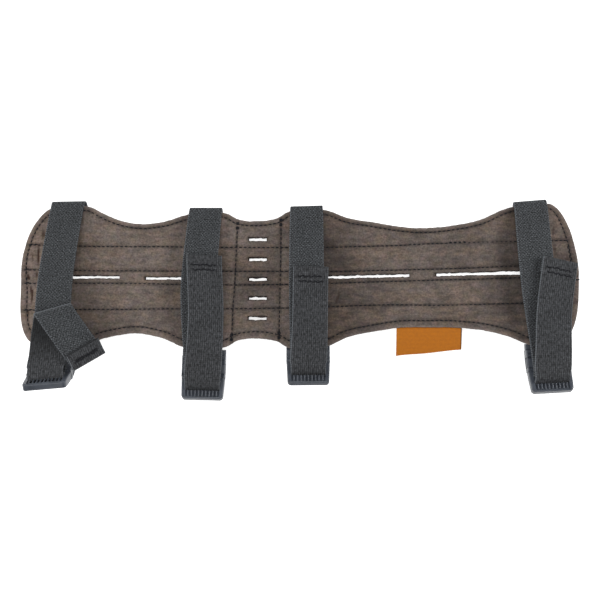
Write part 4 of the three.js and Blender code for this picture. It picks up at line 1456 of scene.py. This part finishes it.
def label_material(colours):
    """Damask-woven polyester label: fine picks across a satin warp, drawn at 0.8 mm to show. It is
    darker along its right edge."""
    m = new_material("damask_label")
    cloth = add_node(m, "UVMap", uv_map="weave")
    picks = add_node(m, "TexWave", {"Vector": cloth, "Scale": BAND_WAVE / 0.8, "Distortion": 0.5},
                     wave_type="BANDS", bands_direction="Y", wave_profile="SIN")
    ends = add_node(m, "TexWave", {"Vector": cloth, "Scale": BAND_WAVE / 0.65, "Distortion": 0.5},
                    wave_type="BANDS", bands_direction="X", wave_profile="SIN")
    yarn = add_node(m, "TexNoise", {"Vector": cloth, "Scale": 1 / 1.6, "Detail": 3.0})
    weave = add_node(m, "Math", [picks.outputs["Fac"], ends.outputs["Fac"]], operation="MULTIPLY")
    relief = add_node(m, "Math", [weave, yarn], operation="ADD")
    tone = add_node(m, "MapRange", [relief, 0.3, 1.3, 0.78, 1.2])
    colour = add_node(m, "VectorMath", {0: tuple(colours.label), "Scale": tone},
                      operation="SCALE")
    across = add_node(m, "SeparateXYZ", [cloth]).outputs["X"]
    at_edge = add_node(m, "MapRange", [across, LABEL_TO - 0.9, LABEL_TO - 0.4, 0.0, 0.85])
    darkened_edge = add_node(m, "Mix", {FACTOR: at_edge, COLOUR_A: colour,
                                 COLOUR_B: solid_colour(linear("#2b2119"))}, data_type="RGBA")
    bump = add_node(m, "Bump", {"Height": relief, "Strength": 0.35, "Distance": 0.1 * MM})
    return show(m, add_node(m, "BsdfPrincipled", {
        "Base Color": darkened_edge.outputs[MIXED],
        "Roughness": add_node(m, "MapRange", [yarn, 0.3, 0.7, 0.65, 0.8]),
        "Specular IOR Level": 0.15, "Sheen Weight": 0.03, "Normal": bump}))


def floor_material(colours):
    """Matt white board on a light table, so that it shows pale through the slits."""
    m = new_material("white_board")
    return show(m, add_node(m, "BsdfPrincipled", {
        "Base Color": solid_colour(colours.floor), "Roughness": 0.9, "Specular IOR Level": 0.0,
        "Emission Color": solid_colour(colours.floor), "Emission Strength": 0.85}))


# Pieces.

def add_piece(name, bm, materials, nodes):
    """Makes an object of a mesh in millimetres, on its body, in place of its CAD nodes."""
    bmesh.ops.recalc_face_normals(bm, faces=bm.faces)
    for face in bm.faces:
        face.smooth = True
    for edge in bm.edges:
        edge.smooth = edge.calc_face_angle(0.0) < SHARP_FROM
    bmesh.ops.scale(bm, vec=(MM, MM, MM), verts=bm.verts)
    mesh = bpy.data.meshes.new(name)
    bm.to_mesh(mesh)
    bm.free()
    for material in materials:
        mesh.materials.append(material)
    piece = bpy.data.objects.new(name, mesh)
    bpy.context.scene.collection.objects.link(piece)
    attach(piece, BODY)
    if nodes:
        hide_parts(*nodes)
    return piece


def settings(context):
    return context.scene.arm_guard_sizes, context.scene.arm_guard_colours


class ARMGUARD_OT_leather(bpy.types.Operator):
    """Make the two suede plies with their slits, seams and creases"""

    bl_idname = "armguard.leather"
    bl_label = "Suede plies"

    def execute(self, context):
        sizes, colours = settings(context)
        form = LeatherForm(sizes)
        area = sum((edge_at("upper", x) + edge_at("lower", x)) * MM * MM
                   for x in range(int(LEFT_TIP_X), int(RIGHT_TIP_X) + 1))
        outer = add_piece(
            "suede_outer", ply_bmesh(form, cut_slits(LONG_LIP, SHORT_LIP), False, OUTER_STEP),
            [suede_material("outer_suede", colours.outer_suede, OUTER_LIP_SHADE, colours)],
            ["outer_leather"])
        arm_side = add_piece(
            "suede_arm_side", ply_bmesh(form, cut_slits(0.0, 0.0), True, ARM_SIDE_STEP),
            [suede_material("arm_side_suede", colours.suede, ARM_SIDE_LIP_SHADE, colours)],
            ["arm_side_leather"])
        return {"FINISHED"}


class ARMGUARD_OT_stitching(bpy.types.Operator):
    """Sew the plies together round the edge, lengthwise and across the flex panel"""

    bl_idname = "armguard.stitching"
    bl_label = "Stitching"

    def execute(self, context):
        sizes, colours = settings(context)
        form = LeatherForm(sizes)
        lines = [form.seam_line()]
        for seam in LENGTHWISE_SEAMS:
            side = "upper" if seam.across > 0 else "lower"
            line = []
            for x in leather_stations([], 1.0):
                across = seam_across(seam, x)
                if edge_at(side, x) > abs(across) + 0.4 and form.inset(x, across) > SEAM_START:
                    line.append(Vector((x, across, 0.0)))
            lines.append(line)
            # Sewn back over itself at the left end.
            tack = [place for place in line if 0.6 < place.x - line[0].x < BACK_TACK]
            lines.append([place + Vector((0.0, 0.45, 0.0)) for place in tack])
        for seam in CROSS_SEAMS:
            top, bottom = edge_at("upper", seam.top_x), edge_at("lower", seam.bottom_x)
            places = [lerp(top - 1.0, 0.8 - bottom, i / CROSS_STEPS)
                      for i in range(CROSS_STEPS + 1)]
            lines.append([Vector((cross_seam_x(seam, a), a, 0.0)) for a in places])
            # Back-tacks where the seam starts and ends.
            for end in (places[:CROSS_TACK], places[-CROSS_TACK:]):
                for shift in (-0.6, 0.0, 0.55):
                    lines.append([Vector((cross_seam_x(seam, a) + shift, a, 0.0)) for a in end])
        # A doubled stretch of the upper lengthwise seam.
        lines.append([Vector((x, seam_across(LENGTHWISE_SEAMS[0], x) + 0.5, 0.0))
                      for x in range(*DOUBLED_STRETCH)])
        # The seam round the edge starts and ends over itself at the right tip.
        lines.append([place + JOIN_SHIFT for place in lines[0]
                      if place.x > JOIN_FROM_X and JOIN_SPAN[0] < place.y < JOIN_SPAN[1]])
        bm = bmesh.new()
        for i, line in enumerate(lines):
            gather(bm, sew(line, lambda x, v: form.arm_side(x, v, form.inset(x, v)), sizes, seed=i))
            gather(bm, sew(line, lambda x, v: form.outer_face(x, v, form.inset(x, v)), sizes,
                           below=True, seed=i))
        # A thread end left at the right tip.
        spot = Vector((*THREAD_END, lift(THREAD_END[1] - AXIS_Y) + form.plies + 0.25))
        add_stitch(bm, spot, Vector((1.0, 0.12, -0.1)), Vector((0, 0, 1)), 4.2, 0.9)
        add_piece("seam_stitching", bm, [thread_material(colours)], [])
        return {"FINISHED"}


class ARMGUARD_OT_straps(bpy.types.Operator):
    """Make the elastic straps with their folds, hems and hem stitches"""

    bl_idname = "armguard.straps"
    bl_label = "Elastic straps"

    def execute(self, context):
        sizes, colours = settings(context)
        width, thick, ribs = sizes.strap_width / MM, sizes.strap / MM, sizes.strap_ribs
        ribbed = width - 2 * SELVEDGE
        materials = [elastic_material("elastic_grain", 0, width, colours),
                     elastic_material("elastic_ribs", ribbed / ribs, width, colours)]

        def relief(share, side):
            inner = (share * width - SELVEDGE) / ribbed
            if side > 0 or not 0 < inner < 1:
                return 0.0
            return 0.08 * abs(math.sin(math.pi * ribs * inner)) - 0.04

        stitches = bmesh.new()
        for strap in STRAPS:
            rows, leaves, folded, before, after = strap_rows(strap, sizes)
            # Marks: the paler core at a fold, the painted shadow of a flap on the tail under it, and
            # the last row, scorched dark and with a painted shadow.
            marks = {
                "folded": [bell(i - folded.start - FOLD_STEPS / 2, 1.8) if i in folded else 0.0
                           for i in range(len(rows))],
                "flap_shadow": [FLAP_SHADOW_DEPTH * smoothstep(i, *(folded.start - n for n in FLAP_SHADOW_ROWS))
                            if folded and i < folded.start else 0.0 for i in range(len(rows))],
                "dark_cut_end": [1.0 if i == len(rows) - 1 else 0.0 for i in range(len(rows))]}
            widths = [width + self.spread_out(i - leaves) - self.drawn_in(i / before)
                      for i in range(len(rows))]
            columns = strap_columns(width, ribs)
            bm = ribbon_bmesh(rows, width, widths, thick, columns, relief, marks)
            piece = add_piece(f"elastic_strap_{strap.number}", bm, materials,
                              [f"strap_{strap.number}"])
            self.sew_hem(stitches, strap, rows, before, after, thick)
        add_piece("hem_stitching", stitches, [bpy.data.materials["polyester_thread"]],
                  [])
        return {"FINISHED"}

    def drawn_in(self, share):
        """How much narrower the elastic is where it is sewn."""
        return SEWN_NARROWER * (1 - smoothstep(share, 0.12, 0.28))

    def spread_out(self, rows_past):
        """How much wider the elastic is where it comes out of the buckle."""
        return TAIL_WIDER * smoothstep(rows_past, 0, 4) * (1 - smoothstep(rows_past, 6, 30))

    def sew_hem(self, bm, strap, rows, before, after, thick):
        """Two rows of stitches across the hem, on the face that shows. They zigzag, but not on an
        end that is turned over."""
        turned = strap.flap is not None
        rule = rows[after].rule
        last, inner = (after, after + 1) if turned else (before, before - 3)
        base = rows[last].at
        inward = (rows[inner].at - base).normalized()
        face = rule.cross(inward).normalized()
        if face.z < 0:
            face = -face
        for line, distance in enumerate(TURNED_HEM_SEAMS if turned else HEM_SEAMS):
            for i in range(HEM_STITCHES):
                side = (i - HEM_STITCHES // 2) * HEM_STITCH_PITCH + (0.5 if line else -0.4)
                wave = 0.6 * wander((i * 1.9, line), 1.0, strap.number)
                place = base + inward * (distance + wave) + rule * side + face * (thick / 2 + 0.1)
                zigzag = 0.0 if turned else (-1) ** i * 0.6
                turn = zigzag + 0.8 * wander((i * 3.1, line), 1.0, strap.number + 0.5)
                length = 2.0 + 0.8 * wander((i * 2.7, line), 1.0, strap.number + 0.2)
                add_stitch(bm, place, rule + inward * turn, face, length, 1.0 if turned else 0.85)


class ARMGUARD_OT_tabs(bpy.types.Operator):
    """Make the short loops that hold the sockets under the lower edge"""

    bl_idname = "armguard.tabs"
    bl_label = "Buckle tabs"

    def execute(self, context):
        sizes, _ = settings(context)
        grain = bpy.data.materials["elastic_grain"]
        columns = strap_columns(TAB_WIDTH, 8)
        for strap in STRAPS:
            rows = self.tab_rows(strap.buckle)
            widths = [TAB_WIDTH] * len(rows)
            bm = ribbon_bmesh(rows, TAB_WIDTH, widths, TAB_THICK, columns, lambda s, f: 0.0, {})
            piece = add_piece(f"webbing_tab_{strap.number}", bm, [grain, grain],
                              [f"buckle_tab_{strap.number}"])
        return {"FINISHED"}

    def tab_rows(self, buckle):
        rule, inward = heading(buckle.yaw), heading(buckle.yaw + 90)
        along = (SOCKET_STEPS[5] + SOCKET_STEPS[6]) / 2
        middle = (SOCKET_HEIGHTS[2] + SOCKET_HEIGHTS[3]) / 2
        bar = in_buckle(buckle, 0.0, along, middle)
        edge_y = AXIS_Y - edge_at("lower", buckle.x)
        reach = (edge_y - bar.y) / inward.y
        slack = TAB_GAP + LOWER_SLOPE * abs(rule.y) * TAB_WIDTH / 2

        def under(distance, layer):
            at = bar + inward * distance
            top = lift(max(at.y, edge_y) - AXIS_Y) - slack - TAB_THICK / 2
            at.z = top - layer * TAB_LAYER
            return Row(at, rule)

        def in_slot(place, height):
            return Row(in_buckle(buckle, 0.0, along + place, middle + height), rule)

        near = max(reach - 1, TAB_EYE + 3)
        flat = [near + (1 + TAB_UNDER) * i / 5 for i in range(6)]
        rows = [under(distance, 0) for distance in reversed(flat)]
        rows.append(in_slot(-TAB_EYE, TAB_WRAP))
        for i in range(FOLD_STEPS + 1):
            turn = math.pi * i / FOLD_STEPS
            rows.append(in_slot(TAB_WRAP * math.sin(turn), TAB_WRAP * math.cos(turn)))
        rows.append(in_slot(-TAB_EYE, -TAB_WRAP))
        return rows + [under(distance, 1) for distance in flat]


class ARMGUARD_OT_buckles(bpy.types.Operator):
    """Mould the plugs and sockets of the side-release buckles"""

    bl_idname = "armguard.buckles"
    bl_label = "Buckles"

    def execute(self, context):
        _, colours = settings(context)
        plastic = plastic_material(colours)

        def at_ladder_end(edge):
            a, b = (v.co for v in edge.verts)
            return (abs(a.x - b.x) < CLOSE and abs(a.y - PLUG_LENGTH) < CLOSE
                    and abs(b.y - PLUG_LENGTH) < CLOSE and abs(abs(a.x) - PLUG_HALF) < CLOSE)

        for strap in STRAPS:
            plug = plug_bmesh()
            round_edges(plug, [(at_ladder_end, CORNER_RADIUS, 5),
                               (on_rim(PLUG_HALF, PLUG_LENGTH), RIM_RADIUS, 3)])
            gather(plug, teeth_bmesh())
            socket = socket_bmesh()
            round_edges(socket, [(on_rim(SOCKET_HALF, None), RIM_RADIUS, 3)])
            for half, bm in (("plug", plug), ("socket", socket)):
                bend_into_place(bm, strap.buckle)
                name = f"{half}_{strap.number}"
                piece = add_piece(name, bm, [plastic], [f"buckle_{name}"])
                self.even_shading(piece.data)
        return {"FINISHED"}

    def even_shading(self, mesh):
        """Normals that follow the large flat faces, so that only the rounded edges shade."""
        normals = [Vector() for _ in mesh.vertices]
        for face in mesh.polygons:
            for i in face.vertices:
                normals[i] += face.normal * face.area
        mesh.normals_split_custom_set_from_vertices([n.normalized() for n in normals])


class ARMGUARD_OT_label(bpy.types.Operator):
    """Make the woven label, folded in half and sewn into the lower seam"""

    bl_idname = "armguard.label"
    bl_label = "Label"

    def execute(self, context):
        sizes, colours = settings(context)
        seam = sizes.ply / MM + sizes.ply_gap / MM / 2
        profile = [(i / LABEL_ROWS, 1.0, 0.0) for i in range(LABEL_ROWS + 1)]
        for i in range(1, LABEL_BENDS):
            turn = math.pi * i / LABEL_BENDS
            profile.append((1.0, math.cos(turn), math.sin(turn)))
        profile += [(1 - i / LABEL_ROWS, -1.0, 0.0) for i in range(LABEL_ROWS + 1)]
        columns = [i / LABEL_COLUMNS for i in range(LABEL_COLUMNS + 1)]
        bm = bmesh.new()
        layers = bm.verts.layers.float
        layers.new("across")
        layers.new("along")
        across, along = layers["across"], layers["along"]
        for vert, (i, k) in grid_places(bm, len(profile), len(columns)).items():
            vert[along] = i
            vert[across] = columns[k]
        inside = second_face(bm)
        for vert in bm.verts:
            share, level, round_out = profile[round(vert[along])]
            a = vert[across]
            radius = LABEL_FOLD_RADIUS + (-0.5 if vert in inside else 0.5) * LABEL_CLOTH
            x = lerp(LABEL_FROM, LABEL_TO, a)
            edge = edge_at("lower", x)
            reach = lerp(*LABEL_OUT, a) + LABEL_WAVE * math.sin(math.pi * a)
            out = lerp(-LABEL_INSIDE, reach - LABEL_FOLD_RADIUS, share)
            hang = clamp(out / LABEL_OUT[0])
            middle = lift(-edge - min(out, 0.0)) + seam - LABEL_DROP * hang * (1 + hang) / 2
            middle += 0.3 * hang * wander((x, out), 13.0, 21.0)
            open_up = 1 + 0.9 * hang * smoothstep(abs(a - 0.5), 0.3, 0.5)
            height = middle + radius * level * (open_up if share < 1 else 1.0)
            vert.co = (x, AXIS_Y - edge - out - radius * round_out, height)
            vert[along] = out if level > 0 else 2 * reach - out
            vert[across] = x
        map_weave(bm, across, along)
        piece = add_piece("woven_label", bm, [label_material(colours)], ["label"])
        return {"FINISHED"}


class ARMGUARD_OT_stage(bpy.types.Operator):
    """Set up the floor, the soft studio light and the camera"""

    bl_idname = "armguard.stage"
    bl_label = "Stage"

    def execute(self, context):
        _, colours = settings(context)
        scene = context.scene
        bm = bmesh.new()
        bmesh.ops.create_grid(bm, x_segments=1, y_segments=1, size=3.0)
        mesh = bpy.data.meshes.new("floor")
        bm.to_mesh(mesh)
        bm.free()
        mesh.materials.append(floor_material(colours))
        floor = bpy.data.objects.new("floor", mesh)
        floor.location.z = -0.0002
        scene.collection.objects.link(floor)

        world = bpy.data.worlds.new("soft_box")
        world.use_nodes = True
        back = world.node_tree.nodes["Background"]
        back.inputs["Color"].default_value = solid_colour(linear("#f3f6fa"))
        back.inputs["Strength"].default_value = 0.15
        scene.world = world
        scene.view_settings.view_transform = "Standard"

        for softbox in SOFTBOXES:
            light = bpy.data.lights.new(softbox.name, "AREA")
            light.shape = "DISK"
            light.size = softbox.size
            light.energy = softbox.power
            lamp = bpy.data.objects.new(softbox.name, light)
            lamp.location = softbox.place
            lamp.rotation_euler = (-softbox.place).to_track_quat("-Z", "Y").to_euler()
            scene.collection.objects.link(lamp)

        camera = bpy.data.objects.new("camera", bpy.data.cameras.new("camera"))
        camera.data.lens = CAMERA_LENS
        camera.data.sensor_width = CAMERA_SENSOR
        camera.data.clip_start = 0.01
        camera.location = (0.0, 0.0, CAMERA_HEIGHT * MM)
        scene.collection.objects.link(camera)
        scene.camera = camera
        return {"FINISHED"}


class ARMGUARD_PT_panel(bpy.types.Panel):
    """Sizes, colours and pieces of the arm guard"""

    bl_idname = "ARMGUARD_PT_panel"
    bl_label = "Arm guard"
    bl_space_type = "VIEW_3D"
    bl_region_type = "UI"
    bl_category = "Arm guard"

    def draw(self, context):
        for group in settings(context):
            box = self.layout.box()
            for name in group.__annotations__:
                box.prop(group, name)
        for operator in OPERATORS:
            self.layout.operator(operator.bl_idname)


OPERATORS = (
    ARMGUARD_OT_stage,
    ARMGUARD_OT_leather,
    ARMGUARD_OT_stitching,
    ARMGUARD_OT_straps,
    ARMGUARD_OT_tabs,
    ARMGUARD_OT_buckles,
    ARMGUARD_OT_label,
)
CLASSES = (ArmGuardSizes, ArmGuardColours, *OPERATORS, ARMGUARD_PT_panel)


def register():
    for cls in CLASSES:
        bpy.utils.register_class(cls)
    bpy.types.Scene.arm_guard_sizes = PointerProperty(type=ArmGuardSizes)
    bpy.types.Scene.arm_guard_colours = PointerProperty(type=ArmGuardColours)


def unregister():
    del bpy.types.Scene.arm_guard_colours
    del bpy.types.Scene.arm_guard_sizes
    for cls in reversed(CLASSES):
        bpy.utils.unregister_class(cls)


def main():
    register()
    bpy.ops.armguard.stage()
    bpy.ops.armguard.leather()
    bpy.ops.armguard.stitching()
    bpy.ops.armguard.straps()
    bpy.ops.armguard.tabs()
    bpy.ops.armguard.buckles()
    bpy.ops.armguard.label()


if __name__ == "__main__":
    main()
